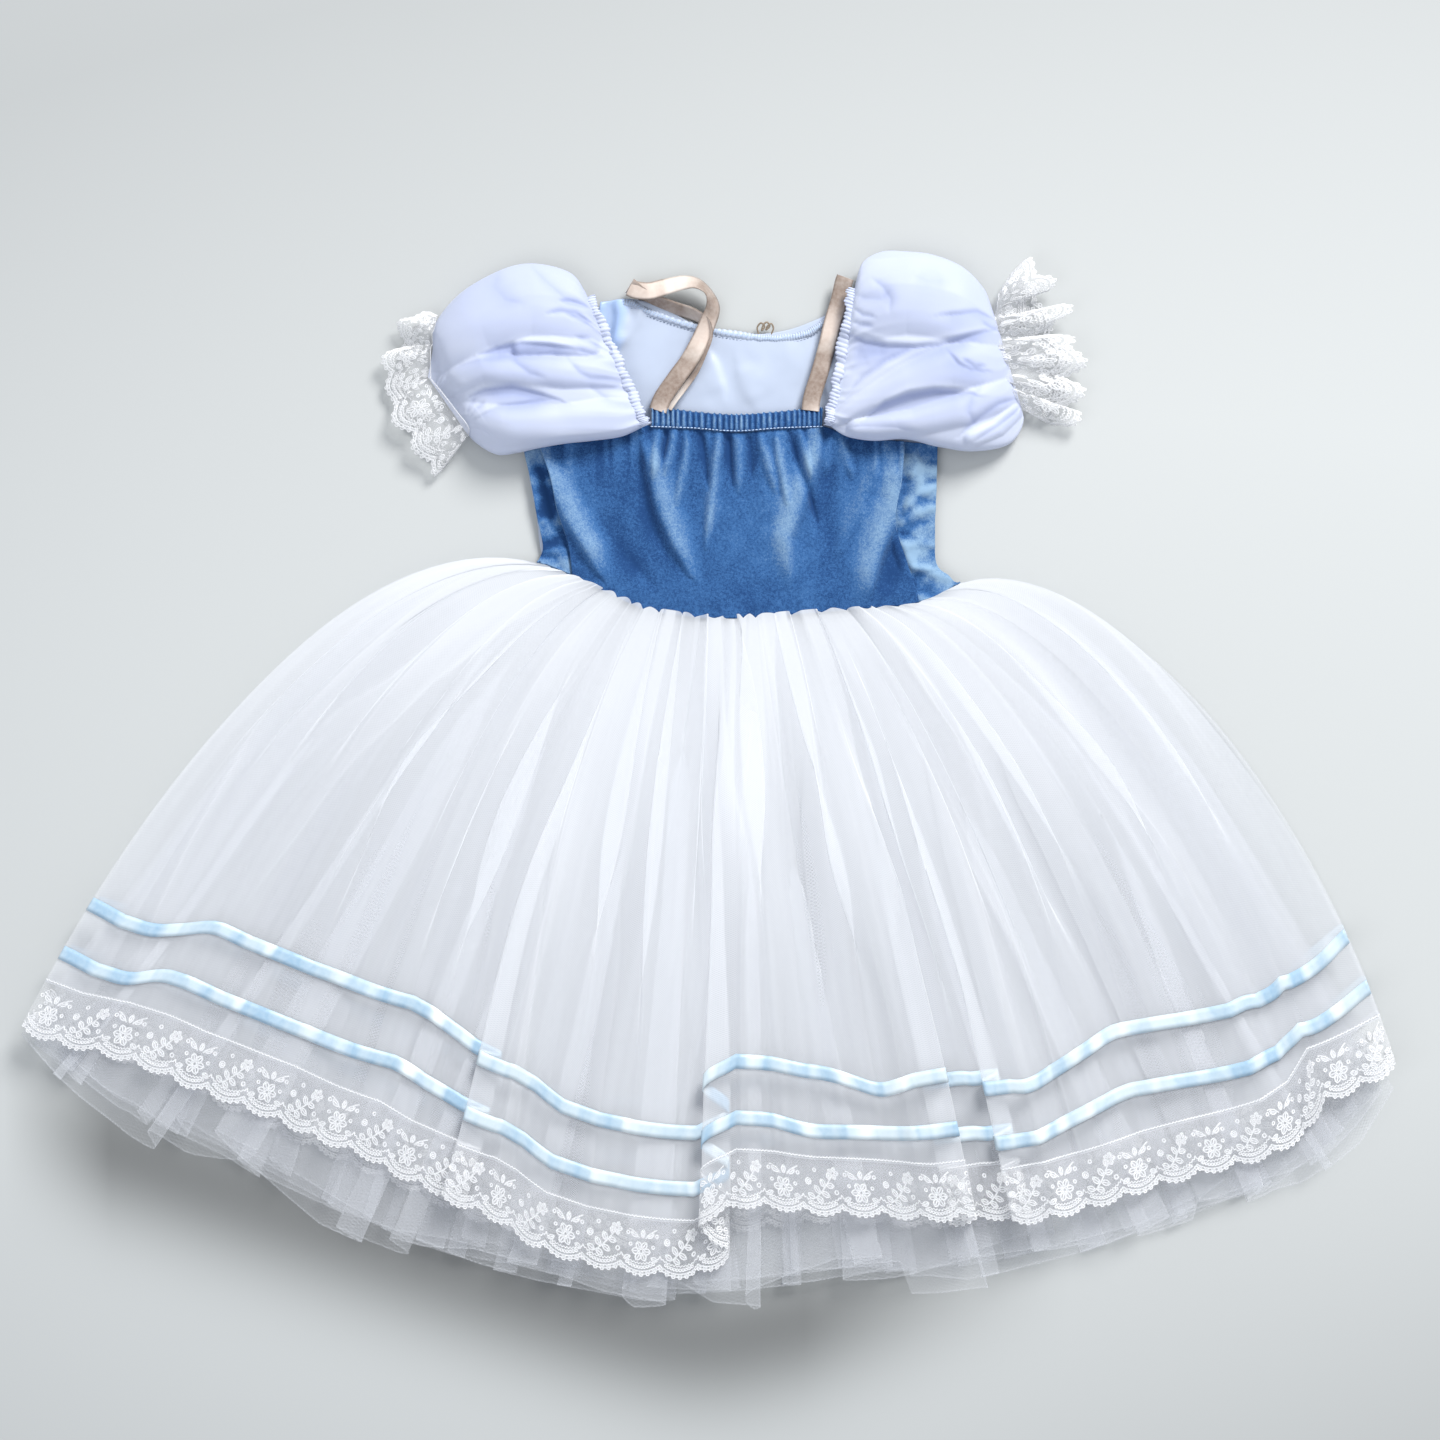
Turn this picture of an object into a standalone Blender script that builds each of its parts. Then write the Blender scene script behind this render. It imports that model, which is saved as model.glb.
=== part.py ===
"""A child's romantic ballet tutu, laid flat on its back with the sleeves spread.

Metres, +Z up, the floor at Z = 0, the origin under the middle of the garment, +Y towards the neck.
Each cloth piece is an open surface with a Solidify modifier. The skirt's layers share one fan of
lines from the waist to the hem, and lie on each other; the sleeves and cuffs are lofted tubes.
"""

import math
from collections import namedtuple

import bmesh
import bpy

MM = 0.001

# ---- cloth ---------------------------------------------------------------------------------------
WALL = 1.0 * MM              # tulle, net, lace, ribbon, lining and chiffon
VELVET = 1.5 * MM
SEAM_GAP = 0.3 * MM
WAIST_GAP = 0.8 * MM         # between the bodice and the skirt's gathered edge
TRIM_GAP = 0.45 * MM         # under a ribbon or lace, which bends with the folds
LAYER_STEP = WALL + 0.8 * MM   # from one skirt layer to the next at the waist
LOFT_STEP = 3.2 * MM         # and at the hem, where the stiff net holds them apart

# ---- skirt ---------------------------------------------------------------------------------------
HALF_WIDTH = 466.0 * MM
FRONT_LAYER = 5              # the outer front, counted up from the outer back
LACE_HEIGHT = 40.0 * MM
RIBBON_WIDTH = 10.0 * MM
LOWER_RIBBON_RISE = 60.0 * MM   # from the lace's scallops to the ribbon's middle
UPPER_RIBBON_RISE = 98.0 * MM
FOLD_HEIGHT = 7.0 * MM          # the top of a big fold over the cloth under it
FOLD_BEND = 5.0 * MM            # the height of its lower bend, which takes the ribbons
LOWER_BEND_REACH, UPPER_BEND_REACH = 3.2 * MM, 1.8 * MM
FOLD_STARTS, FOLD_FULL = 0.12, 0.5   # along the skirt, where the folds open and lie over

# The fan's lines: where one leaves the waist seam and where it meets the mean hem, in mm.
# side: -1 at the left edge, 0 in the middle, 1 at the right edge.
FanLine = namedtuple("FanLine", "side waist_x waist_y hem_y")
FAN = (
    (-1.00, -114, 147, -166),
    (-0.78, -92, 138, -207),
    (-0.56, -70, 127, -247),
    (-0.32, -42, 114, -282),
    (-0.07, -6, 109, -302),
    (0.14, 30, 109, -304),
    (0.37, 66, 112, -299),
    (0.58, 100, 115, -283),
    (0.79, 136, 118, -253),
    (0.91, 156, 124, -227),
    (1.00, 172, 134, -194),
)
# How a line leaves the waist and meets the hem at the edges and in the middle, in mm.
LEAVE_LEFT, LEAVE_MIDDLE, LEAVE_RIGHT = (-109, 30), (0, -130), (78, 26)
ARRIVE_LEFT, ARRIVE_MIDDLE, ARRIVE_RIGHT = (107, 211), (0, 130), (-70, 222)

# The outer front's hem between its folds, in mm: drop below the mean hem, lift over the layer below.
HemPoint = namedtuple("HemPoint", "across drop lift")
FRONT_HEM = (
    (-466, 0, 0), (-440, 0, 2.5), (-410, -5, 0), (-380, -6, 3), (-352, -4, 0), (-322, -5, 2.5),
    (-292, -5, 0), (-262, -4, 3), (-236, -3, 0.5), (-212, 3, 1),
    (-150, 10, 6), (-130, 16, 3), (-108, 27, 5), (-84, 32, 1.5), (-60, 33, 2.5), (-30, 33, 0),
    (24, -17, 5), (50, -16, 7), (76, -12, 5), (100, -10, 7), (126, -7, 5.5), (146, -5, 7),
    (192, 0, 0),
    (232, 5, 7), (254, 3, 4), (280, 1, 5.5), (306, 0, 2), (332, 1, 3.5), (358, 3, 0.5), (384, 5, 3),
    (404, 2, 0), (422, -12, 2), (444, -6, 0), (466, 0, 0),
)
# The folds that lie right over: the cloth on the side named on_top covers the other by the overlap.
Fold = namedtuple("Fold", "across overlap on_top drop_left drop_right")
FRONT_FOLDS = (
    (-171, 19, "right", 6, 10),
    (4, 24, "right", 33, -17),
    (171, 21, "left", -4, 0),
    (211, 18, "right", 1, 5),
)
BACK_HEM = (
    (-466, 0, 0), (-420, 0, 1), (-370, -3, 0), (-318, 2, 1), (-262, 6, 0), (-205, 12, 1), (-150, 20, 0),
    (-90, 22, 1), (-30, 16, 0), (30, 2, 1), (90, -4, 0), (150, 4, 1), (205, 6, 0), (262, 2, 1),
    (318, -3, 0), (370, 0, 1), (420, 2, 0), (466, 0, 0),
)
# The net layers' hems, with the squared and pointed flaps that stick out below the lace.
NET_FRONT_OUTER = (
    (-462, 4, 0), (-430, 22, 1), (-377, 40, 0), (-333, 38, 1), (-318, 12, 0), (-280, 36, 1),
    (-249, 50, 0), (-204, 52, 1), (-150, 36, 0), (-112, 40, 1), (-72, 48, 0), (-38, 56, 1),
    (-20, 34, 0), (4, 49, 1), (28, 54, 0), (50, 30, 1), (84, 20, 0), (128, 24, 1), (132, 46, 0),
    (171, 47, 1), (176, 22, 0), (215, 26, 1), (269, 22, 0), (321, 30, 1), (328, 18, 0), (397, 30, 1),
    (436, 26, 0), (460, 10, 0),
)
NET_FRONT_INNER = (
    (-458, 2, 0), (-400, 18, 1), (-340, 22, 0), (-270, 24, 1), (-205, 40, 0), (-140, 30, 1),
    (-75, 40, 0), (-10, 42, 1), (60, 26, 0), (130, 34, 1), (200, 16, 0), (265, 30, 1), (330, 14, 0),
    (392, 22, 1), (430, 18, 0), (456, 6, 0),
)
NET_BACK_INNER = (
    (-456, 6, 0), (-390, 26, 1), (-320, 30, 0), (-250, 38, 1), (-180, 42, 0), (-110, 50, 1),
    (-40, 52, 0), (30, 34, 1), (100, 26, 0), (170, 40, 1), (240, 34, 0), (310, 24, 1), (380, 26, 0),
    (455, 4, 0),
)
NET_BACK_OUTER = (
    (-460, 0, 0), (-395, 20, 1), (-325, 26, 0), (-255, 34, 1), (-185, 46, 0), (-110, 42, 1),
    (-40, 48, 0), (30, 42, 1), (100, 32, 0), (170, 30, 1), (240, 28, 0), (310, 30, 1), (380, 20, 0),
    (460, 0, 0),
)
FRONT_ROWS = (0.0, 0.1, 0.24, 0.4, 0.58, 0.78)    # along the front, down to the lace
BACK_ROWS = (0.0, 0.2, 0.45, 0.7)
NET_ROWS = (0.0, 0.22, 0.5, 0.78, 1.0)

# ---- bodice: outlines from left to right or from the top down, as x and y in mm -----------------------
SIDE_LEFT_OUTER = ((-126, 221), (-120, 202), (-116, 179), (-112, 158), (-116, 149))
SIDE_LEFT_SEAM = ((-114, 221), (-107, 195), (-102, 175), (-95, 158), (-92, 139))
SIDE_RIGHT_SEAM = ((133, 223), (131, 197), (127, 170), (135, 148), (143, 121))
SIDE_RIGHT_OUTER = ((156, 221), (155, 197), (154, 167), (156, 145), (171, 136))
FRONT_TOP = (
    (-112, 221), (-87, 223), (-62, 226), (-40, 239), (-5, 239), (21, 236), (48, 239), (74, 239),
    (92, 227), (110, 224), (131, 223),
)
CASING_BOTTOM = ((-38, 241), (-5, 241), (21, 238), (48, 241), (73, 241))
CASING_TOP = ((-37, 254), (-5, 250), (30, 248), (62, 252), (74, 253))
BACK_NECK = (
    (-73, 325), (-53, 327), (-40, 321), (-5, 310), (30, 304), (48, 303), (66, 306), (80, 314), (97, 325),
)
BACK_SIDE_LEFT = ((-73, 325), (-80, 290), (-98, 255), (-121, 221), (-116, 179), (-110, 149))
BACK_SIDE_RIGHT = ((97, 325), (106, 290), (126, 255), (150, 221), (151, 167), (164, 137))
BODICE_ROWS = 7
NECK_HEIGHT, SIDE_EDGE_HEIGHT = 6.0 * MM, 4.6 * MM   # of the front velvet at its neckline and its edges
CASING_HEIGHT = 7.6 * MM
CASING_PLEATS = 19
CASING_PLEAT_DEPTH = 1.0 * MM
# The velvet's largest folds, in mm: they run from the neckline towards the waist.
Drape = namedtuple("Drape", "top_x bottom_x half_width height start end")
FRONT_DRAPES = (
    (-100, -72, 10, 6.0, 0.00, 0.85),
    (-66, -44, 7, 2.0, 0.00, 0.60),
    (-42, -14, 7, 5.0, 0.00, 0.80),
    (-8, 0, 6, 2.5, 0.00, 0.55),
    (22, 22, 6, 2.5, 0.00, 0.60),
    (48, 36, 6, 2.0, 0.00, 0.55),
    (77, 52, 8, 5.5, 0.00, 0.85),
    (124, 92, 9, 7.0, 0.05, 0.95),
)

# ---- sleeves: from the wrist to the armhole, in mm -------------------------------------------------
Ring = namedtuple("Ring", "top_x top_y bottom_x bottom_y floor crown")
SLEEVE_LEFT = (
    (-183, 268, -163, 241, 3, 13),
    (-189, 290, -152, 230, 0, 22),
    (-185, 309, -141, 223, 0, 27),
    (-170, 328, -129, 222, 0, 30),
    (-150, 341, -115, 225, 1.5, 31),
    (-129, 349, -97, 228, 3.8, 30),
    (-110, 349, -78, 230, 5, 27),
    (-92, 343, -58, 233, 6, 22),
    (-83, 331, -43, 240, 7.5, 16),
)
SLEEVE_RIGHT = (
    (198, 304, 211, 250, 3, 15),
    (196, 321, 213, 238, 0, 23),
    (187, 335, 200, 226, 0, 28),
    (172, 348, 180, 223, 0, 31),
    (152, 356, 156, 226, 1.5, 32),
    (134, 358, 134, 231, 3.8, 30),
    (118, 358, 112, 230, 5, 26),
    (105, 351, 94, 233, 6, 21),
    (100, 337, 83, 240, 7.5, 16),
)
# Troughs along a sleeve: where they lie between its bottom (0) and top (1), and their depth in mm.
Trough = namedtuple("Trough", "place half_width depth")
SLEEVE_TROUGHS = ((0.22, 0.07, 4.0), (0.40, 0.06, 5.0), (0.56, 0.07, 4.5))
SLEEVE_CROWN_POINTS, SLEEVE_FLOOR_POINTS = 13, 6
ELASTIC_WIDTH = 8.0 * MM
ELASTIC_RUFFLES = 13
RUFFLE_HEIGHT = 0.8 * MM

# ---- cuffs: rings from the wrist outwards, in mm ----------------------------------------------------
CUFF_LEFT = (
    (-186, 268, -164, 239, 3, 12),
    (-196, 277, -176, 230, 1, 11),
    (-207, 291, -187, 220, 0, 12),
    (-216, 306, -196, 210, 0, 11),
)
CUFF_RIGHT = (
    (201, 306, 213, 252, 3, 14),
    (210, 321, 224, 248, 1, 15),
    (220, 335, 238, 243, 0, 16),
    (230, 346, 252, 238, 0, 14),
)
CUFF_FLUTES = 5
CUFF_FLUTE_DEPTH = 2.2 * MM
CUFF_POINTS = 24

# ---- straps and small pieces ---------------------------------------------------------------------
STRAP_WIDTH = 12.0 * MM
# A strap's route, as x, y and z in mm.
STRAP_LEFT = (
    (-31, 257, 9.5), (-22, 280, 7), (-8, 305, 6.5), (-2, 318, 7.5), (-8, 331, 9), (-22, 336, 9.5),
    (-38, 334, 9), (-46, 331, 8.5),
)
STRAP_RIGHT = ((68, 257, 9.5), (76, 282, 7), (84, 306, 6.5), (89, 330, 6.5), (91, 338, 6.5))
BINDING_WIDTH = 3.5 * MM
LINING_HEIGHT = VELVET + SEAM_GAP + WALL / 2
BINDING_HEIGHT = LINING_HEIGHT + WALL + SEAM_GAP
LOOP_SPAN, LOOP_RISE, LOOP_WIRE = 6.0 * MM, 4.0 * MM, 0.8 * MM
LOOP_X, LOOP_Y = 38.0 * MM, 308.5 * MM

# ---- colours: name -> red, green, blue, roughness --------------------------------------------------
VELVET_BLUE = (0.07, 0.19, 0.45, 0.8)
SATIN_WHITE = (0.72, 0.77, 0.90, 0.4)
CHIFFON_WHITE = (0.78, 0.81, 0.92, 0.6)
TULLE_WHITE = (0.82, 0.86, 0.93, 0.7)
NET_WHITE = (0.62, 0.64, 0.68, 0.7)
LACE_WHITE = (0.90, 0.92, 0.97, 0.8)
RIBBON_BLUE = (0.40, 0.62, 0.85, 0.3)
STRAP_TAN = (0.48, 0.35, 0.25, 0.35)


# ---- helpers -------------------------------------------------------------------------------------
def smooth(low, high, value):
    """0 below low, 1 above high, and an S between."""
    t = min(1.0, max(0.0, (value - low) / (high - low)))
    return t * t * (3.0 - 2.0 * t)


def mix(a, b, t):
    return a + (b - a) * t


def table_at(rows, value):
    """The row of a table at a value of its first column, with straight runs between rows."""
    for low, high in zip(rows, rows[1:]):
        if value <= high[0]:
            break
    t = (value - low[0]) / (high[0] - low[0])
    t = min(1.0, max(0.0, t))
    return [mix(a, b, t) for a, b in zip(low, high)]


def curve_at(points, t):
    """The point at t (0 to 1) of a smooth curve through a short list of points, in metres."""
    place = min(max(t, 0.0), 1.0) * (len(points) - 1)
    i = min(int(place), len(points) - 2)
    f = place - i
    p1, p2 = points[i], points[i + 1]
    p0 = points[i - 1] if i else p1
    p3 = points[i + 2] if i + 2 < len(points) else p2
    return [
        MM * 0.5 * (2 * b + (c - a) * f + (2 * a - 5 * b + 4 * c - d) * f * f
                    + (3 * b - a - 3 * c + d) * f ** 3)
        for a, b, c, d in zip(p0, p1, p2, p3)
    ]


def material(name, look):
    """A Principled material of one colour and roughness."""
    mat = bpy.data.materials.new(name)
    mat.use_nodes = True
    shader = mat.node_tree.nodes["Principled BSDF"]
    shader.inputs["Base Color"].default_value = (*look[:3], 1.0)
    shader.inputs["Roughness"].default_value = look[3]
    shader.inputs["Metallic"].default_value = 0.0
    mat.diffuse_color = (*look[:3], 1.0)
    return mat


def grid_sheet(name, columns, rows, place, thickness, look, closed=False):
    """A sheet over a grid, place(i, j) giving each point, made a wall of the thickness."""
    bm = bmesh.new()
    bmesh.ops.create_grid(bm, x_segments=columns, y_segments=rows, size=0.5)
    for vert in bm.verts:
        i = round((vert.co.x + 0.5) * columns)
        j = round((vert.co.y + 0.5) * rows)
        vert.co = place(i, j)
    if closed:
        bmesh.ops.remove_doubles(bm, verts=bm.verts, dist=0.01 * MM)
    bmesh.ops.recalc_face_normals(bm, faces=bm.faces)
    middle = max(bm.faces, key=lambda face: face.calc_center_median().z)
    if middle.normal.z < 0:
        bmesh.ops.reverse_faces(bm, faces=bm.faces)
    return walled(name, bm, thickness, look)


def walled(name, bm, thickness, look):
    """An object from an open surface, with a Solidify modifier that splits the wall evenly."""
    mesh = bpy.data.meshes.new(name)
    bm.to_mesh(mesh)
    bm.free()
    obj = bpy.data.objects.new(name, mesh)
    obj.data.materials.append(material(name, look))
    garment.objects.link(obj)
    solid = obj.modifiers.new("wall", "SOLIDIFY")
    solid.thickness = thickness
    solid.offset = 0.0
    obj.data.shade_smooth()
    obj.data.set_sharp_from_angle(angle=math.radians(50))
    return obj


# ---- skirt ---------------------------------------------------------------------------------------
def fan_line(side):
    """Points down one line of the fan, from the waist to the mean hem, with their distances."""
    fan = FanLine(*table_at(FAN, side))
    weight = abs(side)
    leave_edge, arrive_edge = (LEAVE_LEFT, ARRIVE_LEFT) if side < 0 else (LEAVE_RIGHT, ARRIVE_RIGHT)
    hem_x = side * HALF_WIDTH / MM
    ends = (
        (fan.waist_x, fan.waist_y),
        (fan.waist_x + mix(LEAVE_MIDDLE[0], leave_edge[0], weight),
         fan.waist_y + mix(LEAVE_MIDDLE[1], leave_edge[1], weight)),
        (hem_x + mix(ARRIVE_MIDDLE[0], arrive_edge[0], weight),
         fan.hem_y + mix(ARRIVE_MIDDLE[1], arrive_edge[1], weight)),
        (hem_x, fan.hem_y),
    )
    steps = 20
    points, distance = [], 0.0
    for step in range(steps + 1):
        t = step / steps
        shares = ((1 - t) ** 3, 3 * t * (1 - t) ** 2, 3 * t * t * (1 - t), t ** 3)
        x = MM * sum(share * end[0] for share, end in zip(shares, ends))
        y = MM * sum(share * end[1] for share, end in zip(shares, ends))
        if points:
            distance += math.hypot(x - points[-1][1], y - points[-1][2])
        points.append((distance, x, y))
    return points


def fan_point(side, drop, distance_from_hem=None, along=None):
    """A point of the fan: along from the waist (0) to the piece's own hem (1), or up from its hem."""
    line = fan_line(max(-1.0, min(1.0, side)))
    length = line[-1][0] + drop
    distance = length - distance_from_hem if along is None else along * length
    if distance <= line[-1][0]:
        _, x, y = table_at(line, distance)
    else:
        (d0, x0, y0), (d1, x1, y1) = line[-2:]
        beyond = (distance - d0) / (d1 - d0)
        x, y = mix(x0, x1, beyond), mix(y0, y1, beyond)
    x += (side - max(-1.0, min(1.0, side))) * HALF_WIDTH
    return x, y, distance / length


def fold_profile(overlap):
    """The points of a fold lying over to the left, seen from the hem: sideways and height."""
    steps = 3
    turns = [math.radians(-90 + 180 * k / steps) for k in range(steps + 1)]
    lower_half, upper_half = FOLD_BEND / 2, (FOLD_HEIGHT - FOLD_BEND) / 2
    lower = [
        (overlap / 2 - LOWER_BEND_REACH * (1 - math.cos(turn)), lower_half * (1 + math.sin(turn)))
        for turn in turns
    ]
    upper = [
        (UPPER_BEND_REACH * (1 - math.cos(turn)) - overlap / 2, FOLD_BEND + upper_half * (1 + math.sin(turn)))
        for turn in turns
    ]
    return lower + upper


def hem_columns(hem, folds):
    """Every column of a skirt panel in cloth order: (flat side, folded side, drop, lift)."""
    columns = []
    for point in (HemPoint(*row) for row in hem):
        side = point.across * MM / HALF_WIDTH
        columns.append((side, side, point.drop * MM, point.lift * MM))
    for fold in (Fold(*row) for row in folds):
        profile = fold_profile(fold.overlap * MM)
        last = len(profile) - 1
        if fold.on_top == "left":
            profile = [(-sideways, height) for sideways, height in reversed(profile)]
        for k, (sideways, height) in enumerate(profile):
            flat = (fold.across + (k / last - 0.5) * fold.overlap) * MM / HALF_WIDTH
            folded = (fold.across * MM + sideways) / HALF_WIDTH
            drop = mix(fold.drop_left, fold.drop_right, k / last) * MM
            columns.append((flat, folded, drop, height))
    return sorted(columns)


def skirt_height(layer, along):
    """The middle of a skirt layer's wall over the floor: the layers part towards the hem."""
    near_waist = WALL / 2 + layer * LAYER_STEP
    over_ribbons = WALL / 2 + WALL + TRIM_GAP + layer * LOFT_STEP
    return mix(near_waist, over_ribbons, smooth(0.1, 0.66, along))


def panel_point(layer, column, rise=None, along=None):
    """A point of a skirt panel's middle surface."""
    flat, folded, drop, lift = column
    guess = along if along is not None else 0.9
    weight = smooth(FOLD_STARTS, FOLD_FULL, guess)
    x, y, along = fan_point(mix(flat, folded, weight), drop, rise, along)
    return x, y, skirt_height(layer, along) + lift * weight


def unit(vector):
    size = math.sqrt(sum(c * c for c in vector))
    return [c / size for c in vector]


def panel_normal(layer, columns, i, rise):
    """The outward normal of a panel at a column: the mean of the facets on its two sides."""
    here = panel_point(layer, columns[i], rise)
    below = panel_point(layer, columns[i], rise - 2 * MM)
    down = [b - a for a, b in zip(here, below)]
    total = [0.0, 0.0, 0.0]
    for low, high in ((i - 1, i), (i, i + 1)):
        if low < 0 or high >= len(columns):
            continue
        left = panel_point(layer, columns[low], rise)
        right = panel_point(layer, columns[high], rise)
        across = [b - a for a, b in zip(left, right)]
        facet = unit((
            down[1] * across[2] - down[2] * across[1],
            down[2] * across[0] - down[0] * across[2],
            down[0] * across[1] - down[1] * across[0],
        ))
        total = [t + f for t, f in zip(total, facet)]
    return unit(total)


def skirt_panel(name, layer, columns, rows, rise, look):
    """A skirt layer: rows down its length, the last at a rise over its hem."""
    def place(i, j):
        j = len(rows) - 1 - j if rise is None else len(rows) - j
        if j < len(rows):
            return panel_point(layer, columns[i], along=rows[j])
        return panel_point(layer, columns[i], rise=rise)

    steps = len(rows) - 1 if rise is None else len(rows)
    grid_sheet(name, len(columns) - 1, steps, place, WALL, look)


def skirt_trim(name, layer, columns, low, high, outward, look):
    """A ribbon or lace on a skirt panel, from its points moved out by the wall and a gap."""
    def place(i, j):
        rise = high if j else low
        point = panel_point(layer, columns[i], rise=rise)
        normal = panel_normal(layer, columns, i, rise)
        reach = outward * (WALL + TRIM_GAP)
        return [p + reach * n for p, n in zip(point, normal)]

    grid_sheet(name, len(columns) - 1, 1, place, WALL, look)


def build_skirt():
    front = hem_columns(FRONT_HEM, FRONT_FOLDS)
    back = hem_columns(BACK_HEM, ())
    tulle_end = LACE_HEIGHT - 3 * MM
    skirt_panel("skirt_back", 0, back, BACK_ROWS, tulle_end, TULLE_WHITE)
    skirt_panel("net_back_outer", 1, hem_columns(NET_BACK_OUTER, ()), NET_ROWS, None, NET_WHITE)
    skirt_panel("net_back_inner", 2, hem_columns(NET_BACK_INNER, ()), NET_ROWS, None, NET_WHITE)
    skirt_panel("net_front_inner", 3, hem_columns(NET_FRONT_INNER, ()), NET_ROWS, None, NET_WHITE)
    skirt_panel("net_front_outer", 4, hem_columns(NET_FRONT_OUTER, ()), NET_ROWS, None, NET_WHITE)
    skirt_panel("skirt_front", FRONT_LAYER, front, FRONT_ROWS, tulle_end, TULLE_WHITE)
    for side, layer, columns, outward in (("front", FRONT_LAYER, front, 1), ("back", 0, back, -1)):
        for name, rise in (("upper", UPPER_RIBBON_RISE), ("lower", LOWER_RIBBON_RISE)):
            skirt_trim(f"ribbon_{name}_{side}", layer, columns, rise - RIBBON_WIDTH / 2,
                       rise + RIBBON_WIDTH / 2, outward, RIBBON_BLUE)
        skirt_trim(f"lace_{side}", layer, columns, 0.0, LACE_HEIGHT, outward, LACE_WHITE)


# ---- bodice --------------------------------------------------------------------------------------
def waist_at(x):
    """The waist seam's Y at an X."""
    rows = [row[1:3] for row in FAN]
    return table_at(rows, x / MM)[1] * MM + WAIST_GAP


def drape_height(top_x, bottom_x, down):
    """How far the front's folds raise the velvet, down a line between an X at the top and the bottom."""
    height = 0.0
    x = mix(top_x, bottom_x, down)
    for drape in (Drape(*row) for row in FRONT_DRAPES):
        middle = mix(drape.top_x, drape.bottom_x, down) * MM
        fade = 1.0 - smooth(drape.end - 0.3, drape.end, down)
        fade *= smooth(drape.start - 0.15, drape.start + 0.05, down)
        height += drape.height * MM * fade * math.exp(-((x - middle) / (drape.half_width * MM)) ** 2)
    return height


def front_base(down):
    """The middle of the front velvet's wall over the floor, from the neckline to the waist."""
    return mix(NECK_HEIGHT, skirt_height(FRONT_LAYER, 0.0), smooth(0.5, 1.0, down))


def bodice_front():
    columns = 26

    def place(i, j):
        u, down = i / columns, 1.0 - j / BODICE_ROWS
        top_x, top_y = curve_at(FRONT_TOP, u)
        left_x = curve_at(SIDE_LEFT_SEAM, down)[0] + 2 * SEAM_GAP
        right_x = curve_at(SIDE_RIGHT_SEAM, down)[0] - 2 * SEAM_GAP
        bottom_x = mix(curve_at(SIDE_LEFT_SEAM, 1)[0], curve_at(SIDE_RIGHT_SEAM, 1)[0], u)
        x = mix(left_x, right_x, u)
        x += (top_x - mix(curve_at(FRONT_TOP, 0)[0], curve_at(FRONT_TOP, 1)[0], u)) * (1 - down)
        y = mix(top_y, waist_at(bottom_x), down)
        return x, y, front_base(down) + drape_height(top_x, bottom_x, down)

    grid_sheet("bodice_front", columns, BODICE_ROWS, place, VELVET, VELVET_BLUE)


def side_panel(name, outer, seam):
    """A narrow side panel between the front's seam and the garment's edge."""
    columns = 3

    def place(i, j):
        u, down = i / columns, 1.0 - j / BODICE_ROWS
        outer_x, outer_y = curve_at(outer, down)
        seam_x, seam_y = curve_at(seam, down)
        x = mix(outer_x, seam_x, u)
        y = mix(outer_y, seam_y, u)
        if j == 0:
            return x, waist_at(x) + SEAM_GAP, skirt_height(FRONT_LAYER, 0.0)
        return x, y, mix(SIDE_EDGE_HEIGHT, front_base(down), u)

    grid_sheet(name, columns, BODICE_ROWS, place, VELVET, VELVET_BLUE)


def back_panel(name, thickness, height, inset, look):
    """The back bodice or its lining: one panel from the back neckline to the waist."""
    columns, rows = 10, 6

    def place(i, j):
        u, down = i / columns, 1.0 - j / rows
        left = curve_at(BACK_SIDE_LEFT, down)
        right = curve_at(BACK_SIDE_RIGHT, down)
        x = mix(left[0] + inset, right[0] - inset, u)
        straight_y = mix(left[1], right[1], u)
        neck_y = curve_at(BACK_NECK, u)[1] - inset
        chord_y = mix(curve_at(BACK_NECK, 0)[1], curve_at(BACK_NECK, 1)[1], u)
        y = straight_y + (neck_y - chord_y) * (1 - down) ** 2
        y += (waist_at(x) + 2 * inset - straight_y) * smooth(0.75, 1.0, down)
        return x, y, height

    grid_sheet(name, columns, rows, place, thickness, look)


def neck_casing():
    """The gathered casing along the front neckline, with its row of narrow pleats."""
    columns = CASING_PLEATS * 2

    def place(i, j):
        u = i / columns
        x, y = curve_at(CASING_TOP, u) if j else curve_at(CASING_BOTTOM, u)
        pleat = CASING_PLEAT_DEPTH if i % 2 else 0.0
        return x, y + (0.0 if j else SEAM_GAP), CASING_HEIGHT + pleat

    grid_sheet("front_neck_casing", columns, 1, place, WALL, VELVET_BLUE)


def neck_binding():
    """The serged strip on the back neckline, on the lining."""
    columns = 18

    def place(i, j):
        u = mix(0.12, 0.95, i / columns)
        x, y = curve_at(BACK_NECK, u)
        return x, y - 1.5 * MM - (0.0 if j else BINDING_WIDTH), BINDING_HEIGHT

    grid_sheet("back_neck_binding", columns, 1, place, WALL, SATIN_WHITE)


def neck_loop():
    """The small thread loop that stands up from the back neckline's edge."""
    curve = bpy.data.curves.new("back_neck_loop", "CURVE")
    curve.dimensions = "3D"
    curve.bevel_depth = LOOP_WIRE / 2
    curve.bevel_resolution = 1
    curve.use_fill_caps = True
    spline = curve.splines.new("POLY")
    steps = 6
    spline.points.add(steps)
    for k in range(steps + 1):
        turn = math.pi * k / steps
        x = LOOP_X - LOOP_SPAN / 2 * math.cos(turn)
        y = LOOP_Y + LOOP_RISE * math.sin(turn)
        z = BINDING_HEIGHT + WALL / 2 + SEAM_GAP + LOOP_WIRE / 2
        spline.points[k].co = (x, y, z, 1.0)
    obj = bpy.data.objects.new("back_neck_loop", curve)
    curve.materials.append(material("back_neck_loop", STRAP_TAN))
    garment.objects.link(obj)


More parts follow.
